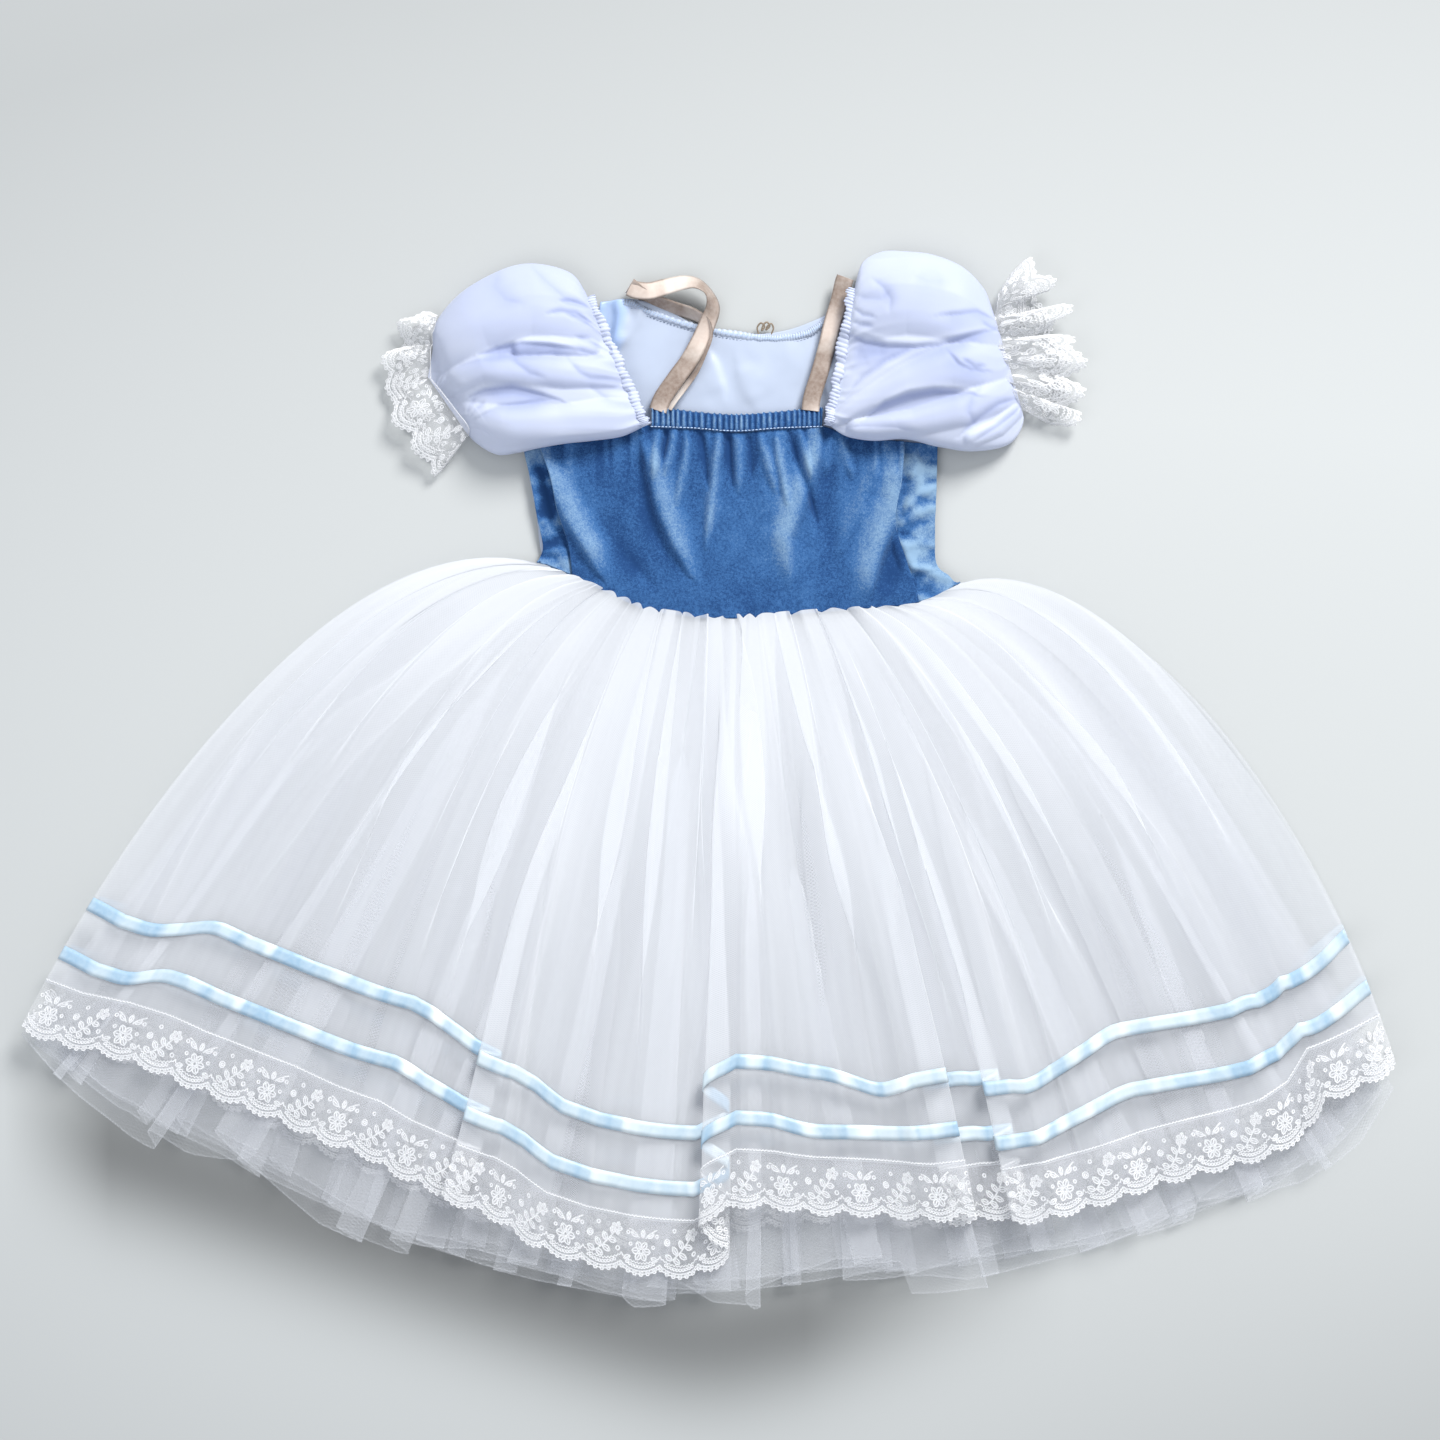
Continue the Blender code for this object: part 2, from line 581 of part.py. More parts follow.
def strap(name, route):
    """A flat ribbon strap along a route, its width kept level."""
    steps = 2 * (len(route) - 1)

    def place(i, j):
        u = i / steps
        x, y, z = curve_at(route, u)
        ahead, behind = curve_at(route, u + 0.02), curve_at(route, u - 0.02)
        dx, dy = ahead[0] - behind[0], ahead[1] - behind[1]
        length = math.hypot(dx, dy)
        side = (j - 0.5) * STRAP_WIDTH
        return x - dy / length * side, y + dx / length * side, z

    grid_sheet(name, steps, 1, place, WALL, STRAP_TAN)


# ---- sleeves and cuffs ----------------------------------------------------------------------------
def sleeve_ring(section, share):
    """A point round a flattened sleeve: share 0 to 1, over the crown from bottom to top, then under."""
    ring = Ring(*(value * MM for value in section))
    crown_share = SLEEVE_CROWN_POINTS / (SLEEVE_CROWN_POINTS + SLEEVE_FLOOR_POINTS)
    low, high = ring.floor + WALL / 2, ring.crown - WALL / 2
    edge = mix(low, high, 0.3)
    if share <= crown_share:
        t = share / crown_share
        place = 0.5 - 0.5 * math.cos(math.pi * t)
        z = edge + (high - edge) * math.sin(math.pi * t) ** 0.8
        for trough in (Trough(*row) for row in SLEEVE_TROUGHS):
            depth = min(trough.depth * MM, 0.3 * (high - low))
            z -= depth * math.exp(-((place - trough.place) / trough.half_width) ** 2)
    else:
        t = (share - crown_share) / (1 - crown_share)
        place = 0.5 + 0.5 * math.cos(math.pi * t)
        z = edge - (edge - low) * math.sin(math.pi * t) ** 0.5
    return mix(ring.bottom_x, ring.top_x, place), mix(ring.bottom_y, ring.top_y, place), z


def sleeve(name, sections):
    """A puff sleeve: a tube lofted from the wrist to the armhole, open at both ends."""
    around = SLEEVE_CROWN_POINTS + SLEEVE_FLOOR_POINTS
    length = len(sections) - 1

    def place(i, j):
        return sleeve_ring(sections[j], (i % around) / around)

    grid_sheet(name, around, length, place, WALL, CHIFFON_WHITE, closed=True)


def sleeve_elastic(name, section, outward):
    """The ruffled elastic edging that covers the upper half of a sleeve's armhole end."""
    columns = ELASTIC_RUFFLES * 2

    def place(i, j):
        share = mix(0.06, 0.94, i / columns)
        ring = Ring(*(value * MM for value in section))
        x, y = mix(ring.bottom_x, ring.top_x, share), mix(ring.bottom_y, ring.top_y, share)
        rise = ring.crown + 4 * SEAM_GAP + WALL / 2 + (RUFFLE_HEIGHT if i % 2 else 0.0)
        shift = (ELASTIC_WIDTH if j else 0.0) - ELASTIC_WIDTH / 4
        return x + outward * shift, y, rise

    grid_sheet(name, columns, 1, place, WALL, CHIFFON_WHITE)


def cuff(name, sections):
    """A gathered lace frill: a fluted tube that flares from the wrist, open at both ends."""
    def place(i, j):
        ring = Ring(*(value * MM for value in sections[j]))
        turn = 2 * math.pi * (i % CUFF_POINTS) / CUFF_POINTS
        share = 0.5 + 0.5 * math.cos(turn)
        half = (ring.crown - ring.floor - WALL) / 2
        flare = j / (len(sections) - 1)
        middle = (ring.crown + ring.floor) / 2
        upper = 0.5 + 0.5 * math.sin(turn)
        flute = CUFF_FLUTE_DEPTH * flare * math.sin(CUFF_FLUTES * 2 * turn) * upper
        z = middle + half * math.sin(turn) + flute
        z = max(z, ring.floor + WALL / 2)
        return mix(ring.bottom_x, ring.top_x, share), mix(ring.bottom_y, ring.top_y, share), z

    grid_sheet(name, CUFF_POINTS, len(sections) - 1, place, WALL, LACE_WHITE, closed=True)


# ---- build ---------------------------------------------------------------------------------------
for old in list(bpy.data.objects):
    bpy.data.objects.remove(old, do_unlink=True)
garment = bpy.data.collections.new("ballet_tutu")
bpy.context.scene.collection.children.link(garment)

build_skirt()
bodice_front()
side_panel("bodice_side_left", SIDE_LEFT_OUTER, SIDE_LEFT_SEAM)
side_panel("bodice_side_right", SIDE_RIGHT_OUTER, SIDE_RIGHT_SEAM)
back_panel("bodice_back", VELVET, VELVET / 2, 0.0, VELVET_BLUE)
back_panel("back_lining", WALL, LINING_HEIGHT, 1.0 * MM, SATIN_WHITE)
neck_casing()
neck_binding()
neck_loop()
strap("strap_left", STRAP_LEFT)
strap("strap_right", STRAP_RIGHT)
sleeve("sleeve_left", SLEEVE_LEFT)
sleeve("sleeve_right", SLEEVE_RIGHT)
sleeve_elastic("sleeve_elastic_left", SLEEVE_LEFT[-1], 1)
sleeve_elastic("sleeve_elastic_right", SLEEVE_RIGHT[-1], -1)
cuff("cuff_lace_left", CUFF_LEFT)
cuff("cuff_lace_right", CUFF_RIGHT)
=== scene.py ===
"""Looks of a child's ballet tutu, laid flat: velvet bodice, chiffon sleeves, tulle and net."""
import math
from collections import namedtuple
from functools import cache

import bpy
import numpy as np
from bpy.props import FloatProperty, FloatVectorProperty, IntProperty, PointerProperty
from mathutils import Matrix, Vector


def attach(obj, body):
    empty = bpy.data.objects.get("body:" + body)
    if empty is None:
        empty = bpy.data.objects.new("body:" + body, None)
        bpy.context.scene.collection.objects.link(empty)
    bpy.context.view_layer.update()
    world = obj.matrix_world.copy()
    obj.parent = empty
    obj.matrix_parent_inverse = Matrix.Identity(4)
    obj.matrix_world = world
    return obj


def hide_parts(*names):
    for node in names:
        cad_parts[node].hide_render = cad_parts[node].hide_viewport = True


bl_info = {
    "name": "Ballet tutu",
    "version": (1, 0, 0),
    "blender": (4, 5, 0),
    "location": "View3D > Sidebar > Tutu",
    "description": "Makes a ballet tutu laid flat, over its fixed frame",
    "category": "Object",
}

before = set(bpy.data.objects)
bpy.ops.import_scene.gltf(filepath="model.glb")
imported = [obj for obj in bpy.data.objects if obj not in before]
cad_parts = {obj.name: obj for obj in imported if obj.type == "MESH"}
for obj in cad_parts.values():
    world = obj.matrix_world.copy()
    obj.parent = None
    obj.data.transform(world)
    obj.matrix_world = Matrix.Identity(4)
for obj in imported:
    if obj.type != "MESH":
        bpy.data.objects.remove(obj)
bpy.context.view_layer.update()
MM = 0.001

# ---- the skirt's fan, as the frame has it: mm ----------------------------------------------------
HALF_WIDTH = 466.0    # of the skirt at its hem
WALL = 1.0            # of a skirt layer's solid in the frame
FRONT_LAYER = 5       # the tulle's place in the pile of layers, the back's being 0
WAIST_STEP = 1.8      # from one layer up to the next at the waist
HEM_STEP = 3.2        # and further down
FAN_SIDES, FAN_DOWN = 161, 41     # places worked out from side to side, and down each fan line
# Each of the fan's lines: its side from -1 to 1, where it leaves the waist, and where it meets the
# hem.
FAN = (
    (-1.00, -114, 147, -166), (-0.78, -92, 138, -207), (-0.56, -70, 127, -247),
    (-0.32, -42, 114, -282), (-0.07, -6, 109, -302), (0.14, 30, 109, -304), (0.37, 66, 112, -299),
    (0.58, 100, 115, -283), (0.79, 136, 118, -253), (0.91, 156, 124, -227), (1.00, 172, 134, -194),
)
# The way the fan's lines leave the waist and arrive at the hem, at its sides and its middle.
LEAVE_LEFT, LEAVE_MIDDLE, LEAVE_RIGHT = (-109, 30), (0, -130), (78, 26)
ARRIVE_LEFT, ARRIVE_MIDDLE, ARRIVE_RIGHT = (107, 211), (0, 130), (-70, 222)
# Each layer's hem: across, drop below the mean hem, and lift over the layer below.
FRONT_HEM = (
    (-466, 0, 0), (-440, 0, 2.5), (-410, -5, 0), (-380, -6, 3), (-352, -4, 0), (-322, -5, 2.5),
    (-292, -5, 0), (-262, -4, 3), (-236, -3, 0.5), (-212, 3, 1), (-185, 6, 1), (-157, 10, 2),
    (-150, 10, 5), (-130, 16, 3), (-108, 27, 5), (-84, 32, 1.5), (-60, 33, 2.5), (-30, 33, 0),
    (-12, 33, 0), (20, -17, 3), (24, -17, 5), (50, -16, 7), (76, -12, 5), (100, -10, 7),
    (126, -7, 5.5), (146, -5, 7), (157, -4, 3), (185, 0, 0), (192, 0, 0), (199, 1, 0), (223, 5, 3),
    (232, 5, 7), (254, 3, 4), (280, 1, 5.5), (306, 0, 2), (332, 1, 3.5), (358, 3, 0.5), (384, 5, 3),
    (404, 2, 0), (422, -12, 2), (444, -6, 0), (466, 0, 0),
)
BACK_HEM = (
    (-466, 0, 0), (-420, 0, 1), (-370, -3, 0), (-318, 2, 1), (-262, 6, 0), (-205, 12, 1),
    (-150, 20, 0), (-90, 22, 1), (-30, 16, 0), (30, 2, 1), (90, -4, 0), (150, 4, 1), (205, 6, 0),
    (262, 2, 1), (318, -3, 0), (370, 0, 1), (420, 2, 0), (466, 0, 0),
)
NET_FRONT_OUTER = (
    (-462, 4, 0), (-430, 22, 1), (-377, 40, 0), (-333, 38, 1), (-318, 12, 0), (-280, 36, 1),
    (-249, 50, 0), (-204, 52, 1), (-150, 36, 0), (-112, 40, 1), (-72, 48, 0), (-38, 56, 1),
    (-20, 34, 0), (4, 49, 1), (28, 54, 0), (50, 30, 1), (84, 20, 0), (128, 24, 1), (132, 46, 0),
    (171, 47, 1), (176, 22, 0), (215, 26, 1), (269, 22, 0), (321, 30, 1), (328, 18, 0),
    (397, 30, 1),
    (436, 26, 0), (460, 10, 0),
)
NET_FRONT_INNER = (
    (-458, 2, 0), (-400, 18, 1), (-340, 22, 0), (-270, 24, 1), (-205, 40, 0), (-140, 30, 1),
    (-75, 40, 0), (-10, 42, 1), (60, 26, 0), (130, 34, 1), (200, 16, 0), (265, 30, 1), (330, 14, 0),
    (392, 22, 1), (430, 18, 0), (456, 6, 0),
)
NET_BACK_INNER = (
    (-456, 6, 0), (-390, 26, 1), (-320, 30, 0), (-250, 38, 1), (-180, 42, 0), (-110, 50, 1),
    (-40, 52, 0), (30, 34, 1), (100, 26, 0), (170, 40, 1), (240, 34, 0), (310, 24, 1), (380, 26, 0),
    (455, 4, 0),
)
NET_BACK_OUTER = (
    (-460, 0, 0), (-395, 20, 1), (-325, 26, 0), (-255, 34, 1), (-185, 46, 0), (-110, 42, 1),
    (-40, 48, 0), (30, 42, 1), (100, 32, 0), (170, 30, 1), (240, 28, 0), (310, 30, 1), (380, 20, 0),
    (460, 0, 0),
)
# A pleat lying over: its middle across the hem, the cloth's half width in it, how far it turns
# back as a share of that, the side on top, where it opens and closes along the skirt, its height
# and its drift.
Pleat = namedtuple("Pleat", "across half_width turn on_top opens full fades gone height drift")
BIG_FOLDS = (
    Pleat(-171, 13, 3.6, 1, 0.08, 0.45, 2.0, 2.1, 6.0, 0),
    Pleat(4, 17, 3.5, 1, 0.05, 0.40, 2.0, 2.1, 7.0, 0),
    Pleat(171, 15, 3.6, -1, 0.10, 0.50, 2.0, 2.1, 6.5, 0),
    Pleat(211, 13, 3.4, 1, 0.10, 0.50, 2.0, 2.1, 6.0, 0),
)

# ---- the bodice: outlines and folds in mm --------------------------------------------------------
SIDE_LEFT_OUTER = ((-126, 229), (-120, 202), (-116, 179), (-112, 158), (-116, 149))
SIDE_LEFT_SEAM = ((-114, 229), (-107, 195), (-102, 175), (-95, 158), (-92, 139))
SIDE_RIGHT_SEAM = ((133, 230), (131, 197), (127, 170), (135, 148), (143, 121))
SIDE_RIGHT_OUTER = ((156, 228), (155, 197), (154, 167), (156, 145), (171, 136))
FRONT_TOP = (
    (-112, 229), (-87, 232), (-62, 236), (-40, 241), (-5, 239), (21, 236), (48, 239), (74, 241),
    (92, 235), (110, 232), (131, 230),
)
CASING_BOTTOM = ((-38, 241), (-10, 240), (19, 238), (48, 240), (77, 241))
CASING_TOP = ((-38, 254), (-10, 250), (19, 248), (48, 250), (77, 253))
BACK_NECK = (
    (-73, 325), (-53, 327), (-40, 321), (-5, 310), (30, 304), (48, 303), (66, 306), (80, 314),
    (97, 325),
)
# The back's sides run from the neckline down under the sleeves to the waist.
BACK_SIDE_LEFT = ((-73, 325), (-80, 290), (-98, 255), (-121, 221), (-116, 179), (-110, 149))
BACK_SIDE_RIGHT = ((97, 325), (106, 290), (126, 255), (150, 221), (151, 167), (164, 137))
# Folds: height, half width, how much sharper the side right of the line's way is, and the line.
VELVET_FOLDS = (
    (6.5, 7.0, 1.8, ((-115, 225), (-106, 200), (-95, 178), (-82, 157), (-73, 140))),
    (-2.2, 6, 1.0, ((-102, 217), (-82, 184), (-61, 157), (-38, 133))),
    (5.0, 5.1, 1.7, ((-45, 233), (-40, 213), (-33, 184), (-22, 159), (-11.8, 140))),
    (-2.0, 5, 1.0, ((-50, 229), (-45, 204), (-40, 178), (-28, 153))),
    (5.0, 5.5, 0.65, ((76, 241), (74, 219), (64, 190), (54, 165), (56, 137))),
    (-2.0, 5, 1.0, ((84, 225), (80, 198), (74, 168))),
    (6.0, 6.2, 0.53, ((131, 229), (131, 188), (122, 170), (113, 147), (108, 120))),
    (3.0, 6.2, 0.8, ((119, 225), (104, 190), (90, 157))),
    (-2.5, 6, 1.0, ((108, 215), (93, 184), (80, 153))),
    (-2.5, 6, 1.0, ((134, 170), (126, 153), (122, 126))),
    (2.2, 2.7, 1.0, ((8.3, 239), (5.4, 217), (3, 194), (-1.2, 158))),
    (1.8, 2.2, 1.0, ((-22, 239), (-24, 231), (-26, 222), (-29, 208))),
    (2.0, 2.5, 1.2, ((-11.8, 239), (-14.1, 225), (-17.1, 211), (-21, 188))),
    (-1.5, 2.0, 1.0, ((-4.8, 239), (-3.2, 227), (-1.6, 215), (1, 197))),
    (-1.4, 2.0, 1.0, ((13.6, 239), (14.8, 227), (15.5, 217), (17, 200))),
    (1.8, 2.4, 1.0, ((21, 239), (21, 229), (21, 215), (21, 196))),
    (-1.4, 1.9, 1.0, ((27, 239), (28, 230), (29, 220), (30, 205))),
    (1.8, 2.4, 1.0, ((35, 239), (37, 227), (41, 215), (46, 196))),
    (2.0, 2.4, 1.0, ((45, 240), (47, 225), (50, 211), (54, 188))),
    (-1.8, 2.2, 1.0, ((54, 240), (59, 223), (66, 204), (74, 175))),
    (1.5, 2.0, 1.0, ((61, 240), (64, 231), (66, 221), (70, 206))),
    (1.6, 2.2, 1.0, ((-32, 240), (-34, 231), (-35, 220), (-37, 205))),
    (-1.5, 1.9, 1.0, ((-28, 239), (-28, 231), (-30, 225), (-31, 214))),
    (1.6, 2.5, 1.0, ((84, 235), (83, 228), (82, 220), (80, 208))),
    (1.4, 2.5, 1.0, ((91, 231), (93, 224), (95, 217), (98, 206))),
    (1.3, 14, 1.0, ((9.3, 198), (5.4, 168), (-6.3, 137))),
    (1.2, 16, 1.0, ((40, 204), (44, 170), (64, 137))),
)
SIDE_FOLDS = (
    (1.6, 3.0, 1.2, ((133, 182), (142, 194), (156, 200))),
    (1.4, 2.6, 1.0, ((131, 174), (144, 182), (157, 187))),
    (-1.2, 2.6, 1.0, ((132, 188), (146, 198), (157, 206))),
    (1.5, 2.6, 1.0, ((130, 156), (142, 161), (153, 159))),
    (1.8, 3.0, 1.5, ((126, 168), (132, 153), (139, 145), (153, 143))),
    (1.6, 2.6, 1.0, ((139, 145), (154, 140), (169, 136))),
    (-2.0, 4.0, 1.0, ((136, 140), (142, 132), (152, 126))),
    (1.3, 2.4, 1.0, ((140, 225), (142, 215), (138, 204))),
    (-1.4, 3.0, 1.0, ((130, 217), (133, 198), (131, 180))),
    (1.5, 3.0, 1.0, ((-122, 221), (-118, 196), (-116, 178))),
    (-2.0, 3.5, 1.0, ((-114, 213), (-108, 188), (-104, 170))),
    (1.8, 3.5, 1.0, ((-108, 155), (-99, 155), (-96, 149), (-86, 139))),
)
LINING_FOLDS = (
    (2.4, 4.0, 1.4, ((-62, 330), (-60, 317), (-62, 304), (-67, 294))),
    (-1.6, 4.0, 1.0, ((-70, 323), (-67, 312), (-66, 302))),
    (2.2, 4.0, 0.7, ((-44, 323), (-48, 312), (-57, 300), (-64, 292))),
    (1.6, 3.5, 1.0, ((-73, 326), (-74, 317), (-72, 308))),
    (-1.4, 5.0, 1.0, ((-51, 320), (-53, 310), (-60, 302))),
    (3.4, 7.0, 1.0, ((86, 286), (88, 274), (84, 261))),
    (-1.8, 3.5, 1.0, ((93, 279), (94, 267), (87, 255))),
    (1.6, 3.0, 1.0, ((80, 263), (85, 266), (91, 261))),
    (1.0, 16, 1.0, ((9.5, 296), (35, 291), (63, 297))),
    (1.8, 5.0, 0.5, ((1, 291), (5, 278), (11, 263))),
    (1.4, 6.0, 1.8, ((20, 282), (25, 268), (31, 255))),
    (1.2, 14, 1.0, ((18.4, 259), (42, 269), (66, 293))),
)
# ---- sleeves from wrist to armhole: top and bottom in plan, floor and crown in mm ----------------
SLEEVE_LEFT = (
    (-190, 274, -164, 236, 3, 8), (-187, 291, -156, 228, 0, 14), (-185, 309, -143, 221, 0, 23),
    (-170, 328, -129, 222, 0, 30), (-150, 341, -115, 225, 1.5, 31), (-129, 349, -97, 228, 3.8, 30),
    (-110, 349, -78, 230, 5, 27), (-92, 343, -58, 233, 6, 22), (-83, 331, -43, 240, 7.5, 16),
)
SLEEVE_RIGHT = (
    (192, 318, 211, 257, 3, 8), (191, 325, 214, 243, 0, 14), (186, 335, 204, 228, 0, 21),
    (172, 348, 180, 223, 0, 31), (152, 356, 156, 226, 1.5, 32), (134, 358, 134, 231, 3.8, 30),
    (118, 358, 112, 230, 5, 26), (105, 351, 94, 233, 6, 21), (100, 337, 83, 240, 7.5, 16),
)
# Crisp tucks of the sleeves, painted into their shade as well, and painted bright edges: strength,
# half width, evenness and line.
TUCKS_LEFT = (
    (-0.85, 4.0, 0.35, ((-154, 287), (-141, 291), (-126, 294), (-108, 293), (-91, 291))),
    (-0.35, 4.5, 1.0, ((-151, 286), (-134, 288), (-124, 288), (-108, 291))),
    (0.3, 2.2, 1.0, ((-141, 293), (-126, 297), (-108, 295), (-89, 293))),
    (-0.45, 1.9, 1.0, ((-89, 291), (-79, 288), (-70, 286))),
    (-0.5, 3.5, 0.4, ((-179, 274), (-167, 280), (-153, 283), (-139, 286))),
    (-0.75, 4.0, 0.35, ((-168, 252), (-161, 259), (-151, 263), (-132, 265), (-112, 260),
        (-99, 256))),
    (-0.35, 4.5, 1.0, ((-153, 260), (-132, 261), (-112, 257))),
    (0.3, 2.2, 1.0, ((-161, 263), (-149, 267), (-132, 268), (-108, 265))),
    (-0.35, 2.6, 1.0, ((-134, 288), (-129, 281), (-120, 274), (-110, 271))),
    (-0.5, 3.0, 0.4, ((-161, 241), (-152, 246), (-141, 252), (-124, 254), (-108, 257))),
    (-0.5, 1.7, 1.0, ((-161, 244), (-157, 250), (-151, 255))),
    (-0.45, 1.7, 1.0, ((-163, 247), (-161, 253), (-157, 258))),
    (-0.4, 1.7, 1.0, ((-160, 239), (-151, 236), (-145, 232))),
    (-0.3, 3.5, 1.0, ((-119, 347), (-110, 337), (-97, 325), (-82, 320))),
    (-0.5, 1.7, 1.0, ((-99, 323), (-89, 322), (-80, 319))),
    (-0.5, 1.7, 1.0, ((-95, 314), (-87, 311), (-78, 306))),
    (-0.5, 1.9, 1.0, ((-108, 314), (-99, 316), (-89, 315), (-79, 309))),
    (-0.5, 1.7, 1.0, ((-89, 299), (-81, 297), (-72, 292))),
    (-0.35, 2.4, 1.0, ((-95, 285), (-87, 275), (-79, 271), (-60, 271))),
    (-0.35, 3.0, 1.0, ((-79, 265), (-66, 256), (-48, 252))),
    (-0.28, 6.0, 1.0, ((-141, 345), (-144, 333), (-136, 323), (-126, 321))),
    (-0.3, 3.5, 1.0, ((-183, 300), (-181, 289), (-182, 279))),
)
TUCKS_RIGHT = (
    (-0.9, 4.5, 0.35, ((95, 302), (106, 296), (121, 293), (138, 292), (155, 293), (172, 298),
        (187, 303))),
    (-0.4, 8.0, 1.0, ((97, 291), (111, 289), (121, 288))),
    (-0.35, 6.0, 1.0, ((95, 274), (100, 282), (109, 286))),
    (0.25, 2.2, 1.0, ((98, 305), (121, 297), (141, 295), (168, 300), (187, 305))),
    (0.35, 2.4, 1.0, ((81, 242), (100, 262), (119, 278), (138, 288), (155, 293), (170, 296),
        (181, 293))),
    (-0.5, 2.0, 1.0, ((92, 259), (104, 272), (119, 283), (134, 290))),
    (-0.8, 4.5, 0.35, ((106, 244), (119, 254), (134, 259), (151, 262), (168, 261), (179, 260))),
    (0.3, 2.2, 1.0, ((113, 253), (134, 263), (155, 265), (177, 264))),
    (-0.55, 2.2, 1.0, ((168, 231), (181, 243), (196, 254), (210, 259))),
    (-0.45, 2.0, 1.0, ((177, 227), (194, 238), (207, 248), (212, 254))),
    (-0.6, 3.0, 0.4, ((162, 288), (168, 280), (177, 276), (188, 276))),
    (-0.5, 1.7, 1.0, ((171, 283), (179, 278), (187, 279))),
    (-0.45, 3.2, 0.4, ((155, 313), (170, 314), (181, 316), (194, 311))),
    (-0.3, 3.5, 1.0, ((99, 328), (106, 325), (117, 324), (122, 329))),
    (-0.35, 3.0, 1.0, ((122, 316), (123, 324), (118, 332), (111, 338))),
    (-0.25, 7.0, 1.0, ((138, 340), (147, 336), (160, 336))),
    (-0.4, 1.7, 1.0, ((185, 309), (189, 306), (196, 304))),
    (-0.4, 1.7, 1.0, ((98, 319), (104, 314), (113, 312))),
    (-0.4, 1.7, 1.0, ((97, 310), (102, 308), (111, 306))),
    (-0.35, 3.0, 1.0, ((185, 267), (177, 257), (175, 248), (179, 240))),
    (-0.3, 3.0, 1.0, ((83, 237), (104, 239), (126, 238), (145, 233))),
)
# Rounded puffs of the sleeves: height, half width at both ends, and the middle line.
PUFFS_LEFT = (
    (8.0, 26, 26, ((-184, 303), (-156, 317), (-118, 324), (-88, 318))),
    (6.0, 9, 12, ((-176, 268), (-152, 277), (-124, 277), (-96, 275), (-66, 277))),
    (5.0, 6, 9, ((-126, 291), (-104, 294), (-82, 293))),
    (6.5, 13, 15, ((-164, 243), (-136, 239), (-100, 239), (-66, 244), (-46, 244))),
)
PUFFS_RIGHT = (
    (8.0, 28, 24, ((98, 324), (134, 327), (167, 321), (190, 310))),
    (7.0, 5, 19, ((80, 242), (106, 255), (134, 268), (162, 278), (190, 283))),
    (5.5, 7, 13, ((100, 238), (139, 241), (173, 250), (198, 262))),
    (3.5, 6, 6, ((178, 230), (196, 238), (208, 250))),
)
# The cuffs' lace from place to place round the wrist: inner edge, outer edge, and both heights.
CUFF_LEFT = (
    (-184, 310, -183, 316, 6, 6), (-184, 308, -191, 318, 7, 8),
    (-185, 304, -200, 314, 9, 10), (-186, 302, -211, 313, 10, 9),
    (-186, 298, -208, 302, 8, 7), (-186, 296, -204, 295, 6, 5),
    (-187, 293, -208, 294, 7, 8), (-187, 288, -217, 290, 9, 10),
    (-187, 284, -221, 283, 9, 9), (-187, 281, -219, 273, 8, 7),
    (-187, 277, -218, 266, 7, 6), (-187, 273, -214, 258, 7, 6),
    (-187, 272, -215, 252, 10, 9), (-181, 265, -213, 244, 11, 11),
    (-174, 256, -204, 235, 12, 11), (-167, 247, -200, 226, 12, 11),
    (-163, 242, -193, 218, 11, 9), (-161, 238, -186, 207, 8, 6),
    (-162, 234, -177, 216, 5, 4), (-165, 235, -189, 219, 3, 2),
    (-172, 246, -202, 236, 2, 1.5), (-180, 258, -210, 251, 2, 1.5),
    (-186, 277, -214, 273, 2, 1.5), (-186, 293, -209, 288, 2, 2),
    (-186, 304, -203, 305, 3, 3),
)
CUFF_RIGHT = (
    (197, 330, 206, 345, 5, 7), (196, 328, 217, 353, 8, 14),
    (196, 325, 223, 345, 10, 16), (195, 323, 234, 340, 10, 13),
    (195, 320, 231, 332, 9, 9), (195, 317, 218, 328, 7, 6),
    (194, 314, 217, 316, 6, 5), (194, 312, 237, 322, 8, 13),
    (192, 310, 245, 320, 9, 14), (191, 306, 242, 313, 9, 12),
    (190, 302, 224, 303, 7, 6), (189, 300, 223, 300, 6, 5),
    (188, 296, 232, 302, 9, 12), (188, 292, 249, 299, 10, 14),
    (188, 289, 252, 291, 10, 13), (188, 285, 254, 283, 10, 12),
    (188, 282, 248, 275, 8, 7), (188, 278, 248, 273, 7, 6),
    (189, 275, 253, 267, 9, 11), (192, 272, 252, 261, 9, 11),
    (197, 271, 246, 254, 7, 7), (200, 268, 243, 251, 7, 6),
    (204, 265, 251, 250, 8, 10), (207, 261, 249, 242, 7, 9),
    (209, 257, 243, 239, 5, 6), (208, 255, 228, 244, 3, 3),
    (204, 261, 240, 249, 2, 2), (197, 269, 243, 265, 2, 1.5),
    (189, 286, 243, 286, 2, 1.5), (192, 303, 234, 308, 2, 1.5),
    (195, 318, 224, 331, 3, 2),
)
# ---- thickness of each cloth, in mm --------------------------------------------------------------
VELVET, CASING, SATIN, FRILL, STRAP, RIBBON = 1.2, 0.9, 0.6, 0.4, 0.45, 0.35
STRAP_WIDTH = 12.0
LOOP_RADIUS = 0.6
# ---- how high the bodice's parts lie, and how near the floor each cloth may come, in mm --------
BACK_Z, LINING_Z, FRONT_Z, CASING_Z = 0.75, 2.3, 6.3, 7.0
SKIRT_LOW, RIBBON_LOW, LACE_LOW, CUFF_LOW, SLEEVE_LOW = 0.4, 0.25, 0.2, 0.3, 0.6
